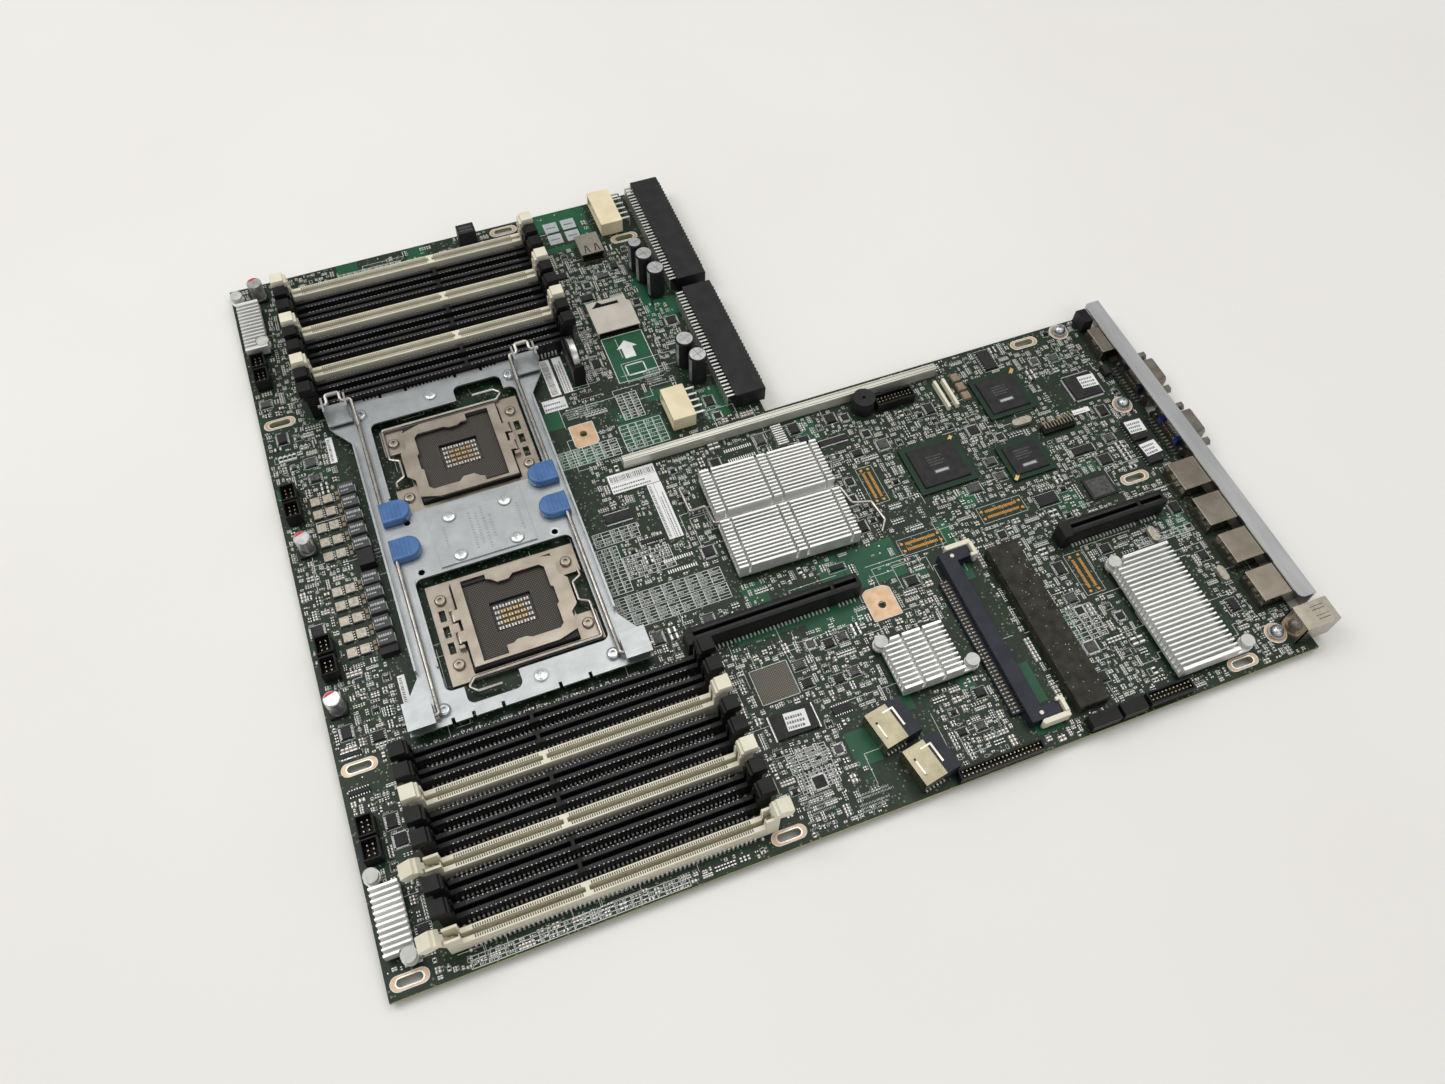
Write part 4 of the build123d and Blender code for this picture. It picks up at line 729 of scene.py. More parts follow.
# Long white outlines round groups of parts.
outlines = random.Random(77)
for _ in range(230):
    w, h = outlines.uniform(7, 34), outlines.uniform(5, 22)
    x, y = outlines.uniform(2, 440), outlines.uniform(2, 404)
    if x + w > 444 or y + h > 405 or (x + w > 251 and y + h > 221):
        continue
    pen = half(ink, x)
    sides = outlines.randrange(1, 15)
    step, rise, thin = outlines.uniform(0.25, 0.7) * w, h * 0.35, 0.11
    if sides & 1:
        line_x(pen, (x, x + step), y, thin)
        line_y(pen, x + step, (y, y + rise), thin)
        line_x(pen, (x + step, x + w), y + rise, thin)
    if sides & 2:
        line_y(pen, x, (y, y + h), thin)
    if sides & 4:
        line_x(pen, (x, x + w), y + h, thin)
    if sides & 8:
        line_y(pen, x + w, (y + rise, y + h), thin)

# What is left gets short lines of reference print and bare pads.
for _ in range(9000):
    x, y = rng.uniform(1, 443), rng.uniform(1, 405)
    tall = rng.uniform(0.75, 1.05)
    count = rng.choice((2, 3, 4))
    upright = rng.random() < 0.5
    long = count * tall * 0.78
    w, h = (tall, long) if upright else (long, tall)
    where = cells(x, x + w, y, y + h)
    if taken[where].any() or (calm[where].any() and rng.random() > 0.12):
        continue
    taken[where] = True
    marks(half(ink, x), x + (w if upright else 0), y, count, tall, upright)
left = Mesh()
for _ in range(2600):
    x, y = rng.uniform(1, 445), rng.uniform(1, 406)
    if not (taken[cells(*wide(x, 0.3), *wide(y, 0.3))].any() or x > 252 and y > 222):
        left.disc(x, y, (0.0, 0.03), rng.choice((0.25, 0.3, 0.42)), "solder", 7)

pours = Mesh()
for x0, x1, y0, y1 in POURS:
    pours.rect((x0, x1), (y0, y1), 0.008, "pour")
finish_mesh(pours, "mask_over_copper", "board")
finish_mesh(ink[0], "board_print_front", "board")
finish_mesh(ink[1], "board_print_rear", "board")
finish_mesh(left, "bare_test_pads", "tin")
finish_mesh(parts[0], "chip_parts_front", "chip")
finish_mesh(parts[1], "chip_parts_rear", "chip")
finish_mesh(small, "small_packages", "chip")


# ---- bare metal, labels and marks on the board ------------------------------------------------

pads = Mesh()
for x, y in SLOTS:
    for outer, inner, z, mat in (((16.4, 6.6), (15.6, 5.9), 0.03, "white_ink"),
                                 ((15.6, 5.9), (11.0, 3.6), 0.04, "copper"),
                                 ((12.2, 4.5), (11.0, 3.6), 0.05, "tin")):
        pads.ring(obround(x, y, *outer), obround(x, y, *inner), z, mat)


def square_pad(x, y, cx, cy, grow):
    """The outline of a square pad, as points at even angles round its hole."""
    corner = 0.5 * math.hypot(x[1] - x[0], y[1] - y[0]) + grow - 0.5
    outline = []
    for c, s in circle(0, 0, 1, 64):
        reach_x = ((x[1] - cx) if c > 0 else (cx - x[0])) + grow
        reach_y = ((y[1] - cy) if s > 0 else (cy - y[0])) + grow
        reach = min(reach_x / max(abs(c), 1e-6), reach_y / max(abs(s), 1e-6), corner)
        outline.append((cx + reach * c, cy + reach * s))
    return outline


for x, y, cx, cy in (((151.4, 164.0), (234.6, 249.2), 157.5, 242.7),
                     ((254.0, 268.2), (87.0, 104.0), 261.0, 94.3)):
    edge = square_pad(x, y, cx, cy, 0)
    pads.ring(square_pad(x, y, cx, cy, 0.35), edge, 0.03, "white_ink")
    pads.ring(edge, circle(cx, cy, 1.95, 64), 0.05, "copper")
for x, y in PANEL_SCREWS:
    for r0, r1, z, mat in ((5.5, 5.1, 0.03, "white_ink"), (5.1, 2.2, 0.05, "copper")):
        pads.ring(circle(x, y, r0, 36), circle(x, y, r1, 36), z, mat)
finish_mesh(pads, "bare_board_metal", "tin")

labels = Mesh()


def label(x, y, z=0.12, lines=0, turn=0.0, mat="paper"):
    """A paper label with lines of grey dashes, or with a bar pattern, in place of any words."""
    w, h = x[1] - x[0], y[1] - y[0]
    labels.move = about((x[0] + x[1]) / 2, (y[0] + y[1]) / 2, turn)
    labels.box((-w / 2, w / 2), (-h / 2, h / 2), (z - 0.1, z), mat)
    upright = h > w * 1.4
    length, depth = (h, w) if upright else (w, h)

    def mark(at, size, band):
        px, py = (at, at + size), band
        if upright:
            px, py = py, px
        labels.rect(px, py, z + 0.01, "print")

    at = -length / 2 + 1.0
    while not lines and at < length / 2 - 1.0:
        bar = rng.choice((0.25, 0.4, 0.6))
        mark(at, bar, (-depth / 2 + 0.5, depth / 2 - 1.5))
        at += bar + rng.choice((0.3, 0.45))
    for k in range(lines):
        a = -depth / 2 + depth * (k + 0.65) / (lines + 0.6)
        end = rng.uniform(0.2, 0.42) * length
        for at, dash in dashes(-length / 2 + 0.6, end, 0.5, 1.1, 0.35):
            mark(at, dash, (a - depth * 0.09, a + depth * 0.06))
    labels.move = None


label((160, 185), (206.8, 212.2))
label((160, 185), (200.4, 206.6), lines=2)
label((177.6, 181.0), (165, 200))
label((181.2, 185.2), (165, 200), lines=2)
label((149, 154.6), (272, 298))
label((156.2, 161.2), (272, 298), lines=3)
label((34.6, 38.0), (119.6, 139.2))
label((30.2, 33.6), (269.4, 286.4))
label((142.6, 155.4), (262.2, 270.4), lines=2, mat="white_ink")
label((421.0, 430.8), (176.0, 184.2), 1.92, 3, -3)
label((193.0, 203.6), (49.0, 57.8), 1.92, 3, -4)
label((428.4, 438.0), (124.6, 132.6), 2.42, 3, 4)
label((428.4, 438.0), (139.8, 147.8), 2.42, 3, -2)
label((407.5, 417.5), (162.5, 165.5), 0.6, 1)
for x, y in ((181.5, 391.5), (192.2, 391.5), (181.5, 381.6), (192.2, 381.6)):
    labels.rect((x, x + 8.2), (y, y + 8.2), 0.03, "grey_ink")
    labels.rect((x + 1.3, x + 6.9), (y + 3.5, y + 4.5), 0.04, "print")
finish_mesh(labels, "paper_labels", "white_nylon")

arrow = Mesh()
arrow.rect((186.4, 209.4), (268.6, 301.2), 0.012, "pour")
arrow.frame((186.0, 209.8), (268.2, 301.6), 0.025, 0.35, "white_ink")
outline = ((195.0, 284), (201.2, 284), (201.2, 291.5), (204, 291.5), (198.1, 297),
           (192.2, 291.5), (195.0, 291.5))
arrow.add([(*p, 0.03) for p in outline], [range(7)], "white_ink")
arrow.frame((192.5, 203.5), (271.5, 279.5), 0.03, 0.7, "white_ink")
finish_mesh(arrow, "card_direction_mark", "board")

footprints = Mesh()


def mezzanine(x, y, along_x, count=20):
    """The bare pads of a connector that was never fitted."""
    footprints.frame((x[0] - 0.6, x[1] + 0.6), (y[0] - 0.6, y[1] + 0.6), INK_Z, 0.18, "white_ink")
    length, depth = (x, y) if along_x else (y, x)
    step = (length[1] - length[0] - 6) / count

    def across(share):
        return depth[0] + share * (depth[1] - depth[0])

    for n in range(count):
        a = length[0] + 3 + (n + 0.5) * step
        for s in (0.30, 0.70):
            px, py = wide(a, step * 0.32), wide(across(s), 0.75)
            if not along_x:
                px, py = py, px
            footprints.rect(px, py, 0.03, "orange")
    for a in (length[0] + 1.3, length[1] - 1.3):
        for s in (0.25, 0.75):
            px, py = (a, across(s)) if along_x else (across(s), a)
            footprints.disc(px, py, (0, 0.03), 0.8, "orange", 12)


mezzanine((283.4, 306.0), (115.6, 124.0), True)
mezzanine((330.0, 354.0), (118.4, 127.2), True)
mezzanine((282.6, 290.4), (148.6, 171.0), False)
mezzanine((357.6, 366.8), (64.0, 87.0), False)
for x0, y0 in ((222.5, 198.5), (170.5, 146.5)):
    for n in range(13):
        for s in (0, 6.4):
            footprints.rect((x0 + n * 1.2, x0 + n * 1.2 + 0.6), (y0 + s, y0 + s + 1.9), 0.03,
                            "solder")
finish_mesh(footprints, "bare_footprints", "tin")


# ---- memory sockets --------------------------------------------------------------------------

SOCKET_TOP = 9.42
# Marks on the socket tops. On the ivory sockets, the dark contact cavities and groove edges are
# painted shade. On the black sockets, the lighter dashes and bright contact tips are painted
# highlights.
slot_shade_and_glints, tails = Mesh(), Mesh()
for bank, number, y in [("near", n, y) for n, y in enumerate(NEAR_ROWS)] + [
        ("far", n, y) for n, y in enumerate(FAR_ROWS)]:
    white = (bank, number) in WHITE
    key = 87.0 if bank == "near" else 111.9
    # Painted shade for the ivory sockets, painted highlights for the black ones.
    dark = "ivory_shadow" if white else "black_relief"
    for n in range(121):
        x = 39.4 + n
        if abs(x - key) < 1.6:
            continue
        for s in (-1, 1):
            slot_shade_and_glints.rect(wide(x, 0.27), beside(y, s, 1.3, 2.6), SOCKET_TOP, dark)
            if not white and n % 2:
                # Painted glints: bright spots on every second contact tip of the black sockets.
                slot_shade_and_glints.rect(wide(x, 0.3), beside(y, s, 2.72, 3.1), SOCKET_TOP, "contact")
    if white:
        for s in (-1, 1):
            for x in ((39.0, key - 1.8), (key + 1.8, 159.8)):
                slot_shade_and_glints.rect(x, beside(y, s, 0.86, 1.14), SOCKET_TOP, dark)
    for n in range(62):
        x = 38.0 + 2 * n
        tails.box(wide(x, 0.5), (y - 4.25, y - 3.2), (0.0, 3.0), "solder", 0.1, False)
        tails.dome(x + 1, y + 4.1, 0.0, 0.68, 0.9, "solder")
    for x in (35.4, 163.5):
        for s in (-1, 1):
            tails.dome(x, y + s * 4.1, 0, 0.9, 0.9, "solder", 8)
finish_mesh(slot_shade_and_glints, "socket_slot_shade_and_glints", "tin")
finish_mesh(tails, "socket_tails", "tin")

# A latch from its pin: x from and to, half width, z from and to, taper. It has a thumb pad with
# three grip lines, a waisted stem and the hook that holds the module.
LATCH = (
    (-1.8, 6.5, 3.6, 14.4, 17.6, 0.25), (-0.6, 6.5, 3.6, 17.4, 19.4, 0.35),
    (1.2, 2.0, 2.9, 19.3, 19.42, 0.1), (1.2 + 1.7, 2.0 + 1.7, 2.9, 19.3, 19.42, 0.1),
    (1.2 + 3.4, 2.0 + 3.4, 2.9, 19.3, 19.42, 0.1), (0.2, 3.4, 1.6, 0, 14.8, 0),
    (3.0, 5.4, 0.6, 8, 14.6, 0), (-1.3, 0.4, 1.55, -1.0, 5.5, 0), (-1.8, 0.6, 1.5, 12.2, 14.6, 0),
)


def latch_piece(node, rows, end, opened=0.0):
    """A node's latches, as they stand at rest: tilted out by the angle that they are opened."""
    side, pin_x = (-1, 31.9) if end == "front" else (1, 167.0)
    mat, slot = ("black", "dark_plastic") if "black" in node else ("ivory", "ivory_plastic")
    mesh = Mesh()
    tilt = Matrix.Rotation(math.radians(side * opened), 4, "Y")
    for y in rows:
        mesh.move = Matrix.Translation((pin_x, y, 4.0)) @ tilt
        for a, b, half_width, low, high, taper in LATCH:
            mesh.box(beside(0, side, a, b), wide(0, half_width), (low, high), mat, taper)
    finish_mesh(mesh, node + "_shaped", slot, node, 0.28, replaces=node)


latch_piece("near_latch_3_front", NEAR_ROWS[2:3], "front")
latch_piece("near_latches_open_front", (NEAR_ROWS[5], NEAR_ROWS[8]), "front", 27.5)
latch_piece("near_latches_3_6_rear", (NEAR_ROWS[2], NEAR_ROWS[5]), "rear")
latch_piece("near_latch_9_rear", NEAR_ROWS[8:], "rear", 13.0)
for end in ("front", "rear"):
    latch_piece("far_white_latches_" + end, [FAR_ROWS[n] for n in (0, 3, 6)], end)
    for bank, rows in (("near", NEAR_ROWS), ("far", FAR_ROWS)):
        black = [y for n, y in enumerate(rows) if (bank, n) not in WHITE]
        latch_piece(f"{bank}_black_latches_{end}", black, end)


# ---- CAD nodes that keep their shape -----------------------------------------------------------

for key, bevel, nodes in (
    ("board", 0, "pcb"), ("zinc", 0.3, "heatsink_clamp_frame"), ("screw", 0.2, "panel_screws"),
    ("nickel", 0.2, "socket_frames socket_screws"), ("steel", 0.3, "socket_backplates"),
    ("nickel", 0.25, "load_plate_1 load_plate_2"), ("bar_tin", 0, "bus_bar"),
    ("wire", 0, "load_lever_1 load_lever_2 heatsink_clip"), ("nylon_white", 0.2, "push_pins"),
    ("alu", 0.12, "chipset_heatsink storage_heatsink network_heatsink supply_heatsinks"),
    ("satin_black", 0.2, "cpu_socket_1 cpu_socket_2"), ("satin_black", 0.3, "supply_connectors"),
    ("satin_black", 0.4, "buzzer"), ("natural", 0.3, "power_headers"),
    ("tin", 0.1, "connector_pins"), ("black", 0.25, "memory_sockets_black riser_slots"),
    ("black", 0.2, "battery_holder pin_headers"), ("navy", 0.3, "module_socket"),
    ("ivory", 0.25, "memory_sockets_white module_latch_near module_latch_far"),
    ("foam", 0.4, "foam_strip"), ("cell", 0.3, "coin_cell"), ("jack", 0.2, "network_jacks"),
    ("port_steel", 0.2, "video_and_serial_ports"), ("steel", 0.15, "rear_bracket"),
):
    for node in nodes.split():
        dress(node, key, bevel)


# ---- processor sockets and clamp ---------------------------------------------------------------

for place, y in (("near_front", 199.9), ("near_rear", 199.1), ("far_front", 222.5),
                 ("far_rear", 219.5)):
    dress(f"clamp_lever_{place}", "wire")
    dress(f"lever_grip_{place}", "blue", 0.5)
    ridges = Mesh()
    a, b = (46.6, 1) if "front" in place else (136.5, -1)
    for k in range(5):
        x = a + b * (2.2 + k * 2.0)
        ridges.box(wide(x, 0.4), wide(y, 4.6), (10.75, 11.1), "blue", 0.15)
    finish_mesh(ridges, f"grip_ridges_{place}", "blue_plastic", f"clamp_lever_{place}")

# On the clamp frame, the bright domes and hole rims are painted highlights, the darker ring round
# each boss is painted shade at its edge, and the grey dashes are faint print.
rivet_sheen_and_print = Mesh()
for x, y, z in ((78.8, 188.4, 7.7), (107.0, 188.4, 7.7), (78.8, 211.7, 7.7), (107.0, 211.7, 7.7),
                (96.8, 113.2, 6.7), (88.4, 290.6, 6.7)):
    rivet_sheen_and_print.dome(x, y, z, 2.7, 0.3, "rivet", 28)
    # Painted shade: a darker ring round the boss's edge.
    rivet_sheen_and_print.ring(circle(x, y, 3.7, 32), circle(x, y, 3.32, 32), z - 0.68, "stamp")
for x in (58.6, 125.1):
    for y in (185.7, 215.8):
        rivet_sheen_and_print.ring(circle(x, y, 2.5, 32), circle(x, y, 1.62, 32), 6.02, "rivet")
for x, y0, y1 in ((88.0, 189.0, 211.0), (91.2, 191.0, 209.0), (94.4, 187.0, 213.0),
                  (97.6, 193.0, 206.0), (74.5, 194.0, 206.0), (112.0, 192.0, 208.0)):
    for at, dash in dashes(y0, y1, 0.7, 1.6, 0.4):
        rivet_sheen_and_print.rect(wide(x, 0.65), (at, at + dash * 0.6), 7.02, "stamp")
finish_mesh(rivet_sheen_and_print, "clamp_frame_rivet_sheen_and_print", "zinc")

field = Mesh()
for cy, turn in ((151.3, 0), (250.5, 180)):
    field.move = about(94.2, cy, turn)
    for x, y in (((-21.4, 21.4), (8.2, 20.9)), ((-21.4, 21.4), (-20.9, -8.2)),
                 ((-21.4, -10.1), (-8.2, 8.2)), ((10.1, 21.4), (-8.2, 8.2))):
        field.rect(x, y, 3.62, "field")
    field.rect((-9.8, 9.8), (-7.9, 7.9), 1.62, "epoxy_grey")
    for i in range(6):
        for j in range(5):
            x, y = -8.6 + i * 3.0, -6.9 + j * 2.9
            ends = "gold" if 0 < i < 5 and 0 < j < 4 else "solder"
            for a, b, mat in ((0, 0.55, ends), (0.55, 1.55, "tan"), (1.55, 2.1, ends)):
                field.box((x + a, x + b), (y, y + 1.5), (1.62, 2.5), mat)
finish_mesh(field, "socket_fields", "chip")


# ---- slots and small connectors ------------------------------------------------------------------

extra = Mesh()
for (x0, x1), near, key in RISERS:
    for k in range(int(x1 - x0 - 5)):
        x = x0 + 2.8 + k
        if abs(x - key) < 1.4:
            continue
        for s in (-1, 1):
            # Painted highlights: lighter dashes along the contact rows on the slot's top.
            extra.rect(wide(x, 0.25), wide(near + 3.75 + s * 1.75, 0.5), RISER_TOP, "black_relief")
        if k % 2 == 0:
            extra.box(wide(x, 0.4), (near - 2.2, near - 0.2), (0, 0.8), "solder", 0.1, False)
for y0, y1 in ((231.0, 314.6), (321.4, 405.5)):
    for k in range(28):
        y = y0 + 6 + k * (y1 - y0 - 12) / 27
        extra.box((254.6, 256.05), wide(y, 0.35), (8.4, 10.32), "black_relief")
        extra.box((247.1, 252.0), wide(y, 0.3), (4.4, 5.6), "tin")
    extra.box((239.0, 243.0), (y0 - 0.1, y0 + 0.2), (0, 10), "black")
for y in (214.5, 216.6):
    extra.box((170.6, 349.2), wide(y, 0.12), (6.38, 6.43), "black_relief")
for y in (72.2, 61.4, 163.2, 151.9, 253.7, 242.9, 345.2, 334.4):
    for i in (-1, 1):
        for j in (-2.2, 0, 2.2):
            extra.box(wide(7.4 + i * 1.2, 0.28), wide(y + j, 0.28), (1.5, 6.2), "pin")
for x0, x1, y, tall in ((254.4, 296.8, 2.75, 4.2), (352.6, 376.2, 4.4, 5.0),
                        (309.0, 331.0, 205.3, 5.2)):
    n = int((x1 - x0 - 3) / 2.0)
    for k in range(n + 1):
        x = (x0 + x1) / 2 + (k - n / 2) * 2.0
        for s in (-1, 1):
            extra.box(wide(x, 0.3), wide(y + s, 0.3), (1.5, tall), "pin")
for k in range(10):
    x = wide(386.4 + k * 1.9, 0.3)
    for dy, z in ((0.8, 4.6), (3.4, 3.8)):
        extra.box(x, (156.6 + dy, 157.2 + dy), (2.4, z), "pin")
        extra.box(x, (156.6 + dy, 160.2 + dy), (z - 0.3, z + 0.3), "pin")
for k in range(38):
    for x, w in ((292.2, 0.5), (294.4, 0.9)):
        extra.box(wide(x, w), wide(21.4 + k * 1.95, 0.3), (2.35, 2.6), "pin")
for y in (15.6, 104.0):
    extra.disc(302.4, y, (6.5, 6.8), 1.0, "ivory", 14)
for k in range(9):
    extra.box((250.2, 256.2), (198.2 + k * 1.5, 199.1 + k * 1.5), (0, 2.8), "tin", 0.1)
for x in (345.2, 350.2):
    extra.box((x, x + 1.7), (189.5, 208.5), (0, 3.2), "ivory", 0.1)
finish_mesh(extra, "connector_details", "tin")


# ---- capacitors, chokes and chips ----------------------------------------------------------------

cans = Mesh()
CAN_TOP = 20
for x, y, r in ((227.1, 257.4, 5), (224.4, 270.1, 5), (227.1, 324.9, 5), (224.7, 337.6, 5),
                (222.7, 347.6, 4)):
    cans.disc(x, y, (0, CAN_TOP - 0.7), r - 0.02, "satin_black", 36)
    cans.disc(x, y, (CAN_TOP - 0.7, CAN_TOP - 0.1), r - 0.02, "satin_black", 36, r - 0.5)
    cans.disc(x, y, (CAN_TOP - 0.2, CAN_TOP), r - 0.45, "can", 36, r - 0.7)
    for a in (20, 110):
        cans.move = about(x, y, a)
        cans.box((-r * 0.7, r * 0.7), (-0.12, 0.12), (CAN_TOP - 0.05, CAN_TOP), "satin_black")
    cans.move = about(x, y, 200)
    cans.box((r - 0.5, r), (-1.1, 1.1), (1.5, CAN_TOP - 1.5), "can")
    cans.move = None
for x, y in ((6.5, 132.2), (9.6, 221.0), (15.6, 397.6)):
    base = ((-4.3, -4.3), (3.2, -4.3), (4.3, -3.2), (4.3, 3.2), (3.2, 4.3), (-4.3, 4.3))
    cans.prism([(x + a, y + b) for a, b in base], (0, 1.6), "black")
    for low, high, r, upper in ((1.6, 2.4, 4.0, 3.7), (2.4, 12.1, 3.7, 3.98),
                                (12.1, 12.46, 3.98, 3.6)):
        cans.disc(x, y, (low, high), r, "can", 36, upper)
    arc = np.linspace(0.9, math.pi - 0.9 + 0.6, 14)
    cans.prism([(x + 3.5 * math.cos(a), y + 3.5 * math.sin(a)) for a in arc], (12.4, 12.5), "red")
finish_mesh(cans, "capacitor_cans", "alu_cans", smooth=35, replaces="capacitors")

chokes = Mesh()
for y in (158.3, 167.0, 175.9, 184.7, 192.9, 214.0, 222.7, 231.5, 240.2, 248.3):
    chokes.box((30.8, 38.8), wide(y, 3.6), (0.3, 4.96), "ferrite", 0.2)
    for low, high, reach in ((0, 1.9, 5.6), (2.2, 1.3, 3.6)):
        for at, dash in dashes(31.8, 32.2 + reach, 0.4, 1.0, 0.3):
            chokes.box((at, at + dash), (y + 0.5 - low, y + high - low), (4.9, 4.99), "grey_ink")
    for x in ((30.6, 31.2), (38.4, 39.0)):
        chokes.box(x, wide(y, 2.2), (0, 3.0), "solder")
    for x0 in (15.7, 21.9):
        chokes.box((x0, x0 + 5.0), (y - 2.9, y + 2.3), (0.05, 1.1), "tan_tin", 0.2)
        chokes.box((x0 + 0.2, x0 + 4.8), (y - 3.3, y - 2.9), (0.05, 0.7), "satin_black")
        for k in range(4):
            chokes.box((x0 + 5.0, x0 + 5.7), wide(y - 2.3 + k * 1.4, 0.25), (0, 0.35), "solder")
    for a, b in ((-2.8, -0.6), (0.4, 2.6)):
        chokes.box((28.4, 29.9), (y + a, y + b), (0, 0.9), "tan")
for x, y, high, taper in (((31.4, 39.4), (200.4, 209.9), 4.98, 0.2),
                          ((30.6, 39.4), (150.4, 154.3), 3.58, 0.15),
                          ((131.2, 141.9), (394.3, 402.6), 12.95, 0.3)):
    chokes.box(x, y, (0, high), "satin_black", taper)
for k in range(2):
    chokes.box((133.0, 140.2), (396.2 + k * 2.6, 397.6 + k * 2.6), (12.9, 12.98), "ferrite")
finish_mesh(chokes, "chokes_and_drivers", "ferrite", bevel=0.18, replaces="inductors")

packages = Mesh()
# Array packages: the carrier in plan, its margin round the epoxy, and the gold corner mark.
for x, y, margin, gold in (((307.5, 339.8), (143.8, 174.2), 2.9, (336.8, 171.6)),
                           ((363.7, 391.6), (174.6, 202.5), 2.6, (389.8, 201.0)),
                           ((356.3, 380.7), (135.3, 158.2), 2.4, (358.2, 137.0))):
    packages.box(x, y, (0.5, 1.38), "carrier")
    packages.box((x[0] + margin, x[1] - margin), (y[0] + margin, y[1] - margin), (1.38, 2.4),
                 "epoxy", 0.4)
    packages.move = about(*gold, 45)
    packages.box((-2.0, 2.0), (-0.9, 0.9), (1.36, 1.6), "gold")
    packages.move = None
    cx, cy = (x[0] + x[1]) / 2, (y[0] + y[1]) / 2
    for k, reach in enumerate((3.6, 2.4, 4.0, 1.6)):
        for at, dash in dashes(cx - 5.0, cx + reach, 0.5, 1.2, 0.35):
            packages.rect((at, at + dash), (cy + 4.4 - k * 1.7, cy + 5.3 - k * 1.7), 2.41,
                          "epoxy_grey")
    packages.rect((cx - 4.6, cx + 4.2), (cy - 6.0, cy - 3.4), 2.41, "epoxy_grey")
    packages.rect((cx - 3.9, cx + 3.5), (cy - 5.4, cy - 4.0), 2.42, "grey_ink")

LEG_LENGTH = 1.1


def ends(span):
    """Where the legs stand at both ends of a package."""
    return (span[0], span[0] + LEG_LENGTH), (span[1] - LEG_LENGTH, span[1])


def quad_flat(x, y, top, legs):
    """A flat package with fine legs on four sides."""
    packages.box((x[0] + 1.0, x[1] - 1.0), (y[0] + 1.0, y[1] - 1.0), (0.3, top - 0.02), "epoxy",
                 0.3)
    for n in range(legs):
        a = (n + 0.5) / legs
        px, py = (c[0] + 1.2 + a * (c[1] - c[0] - 2.4) for c in (x, y))
        for q in ends(y):
            packages.box(wide(px, 0.14), q, (0.31, 0.6), "tin")
        for q in ends(x):
            packages.box(q, wide(py, 0.14), (0.31, 0.6), "tin")


def dual_flat(x, y, top, legs, along_x):
    """A flat package with legs on two sides."""
    in_x, in_y = (0, 0.7) if along_x else (0.7, 0)
    packages.box((x[0] + in_x, x[1] - in_x), (y[0] + in_y, y[1] - in_y), (0.3, top - 0.02),
                 "epoxy", 0.15)
    length, depth = (x, y) if along_x else (y, x)
    for n in range(legs):
        leg = wide(length[0] + (n + 0.5) / legs * (length[1] - length[0]), 0.18)
        for q in ends(depth):
            px, py = (leg, q) if along_x else (q, leg)
            packages.box(px, py, (0.31, 0.7), "tin")


quad_flat((412.6, 431.6), (169.6, 187.8), 1.8, 32)
for x, y, top, legs, along_x in (
    ((186.0, 208.2), (46.8, 59.6), 1.8, 24, False),
    ((426.8, 437.0), (120.0, 134.0), 2.3, 8, False),
    ((426.8, 437.0), (135.6, 149.2), 2.3, 8, False),
    ((151.0, 164.6), (182.8, 189.8), 1.5, 24, True),
    ((163.4, 175.6), (165.8, 169.6), 1.4, 10, True), ((215.6, 224.8), (48.8, 54.4), 1.4, 8, True),
    ((2.6, 12.0), (88.6, 92.4), 1.4, 8, True), ((2.6, 12.0), (106.8, 110.6), 1.4, 8, True),
    ((271.0, 286.6), (189.8, 194.6), 1.4, 24, True),
    ((163.0, 170.6), (264.2, 268.2), 1.4, 8, True),
):
    dual_flat(x, y, top, legs, along_x)
packages.boxes("carrier", (214, 254, 140.7, 180.7, 0.4, 2.19))
for x, y in (((251.2, 277.0), (54.6, 65.0)), ((375.7, 401.8), (17.4, 65.0)),
             ((5.4, 12.4), (23.8, 37.2)), ((5.4, 12.1), (361.0, 381.4))):
    packages.box(x, y, (0.4, 2.19), "epoxy")
packages.box((388.4, 403.6), (110.6, 123.8), (0.1, 1.2), "epoxy", 0.2)
packages.rect((390.0, 402.0), (112.0, 122.6), 1.21, "epoxy_grey")
finish_mesh(packages, "chip_packages", "chip", replaces="chips")

bare = Mesh()
bare.rect((187.6, 205.4), (66.2, 83.2), 0.03, "ball_field")
bare.frame((187.0, 206.0), (65.6, 83.8), 0.03, 0.3, "white_ink")
bare.prism(obround(378.15, 168.2, 11.5, 4.4, 10), (0.1, 2.6), "tan_tin")
for x, y, length, width in ((405.5, 82.1, 9.0, 4.2), (425.2, 50.3, 8.6, 4.0)):
    bare.prism([(a, b) for b, a in obround(y, x, length, width, 10)], (0.1, 2.6), "tan_tin")
for y in (192, 198.5, 205):
    bare.box((356.4, 361.0), (y, y + 5.4), (0, 1.9), "tan", 0.2)
finish_mesh(bare, "crystals_and_bare_array", "silver", bevel=0.15)


# ---- ports -------------------------------------------------------------------------------------

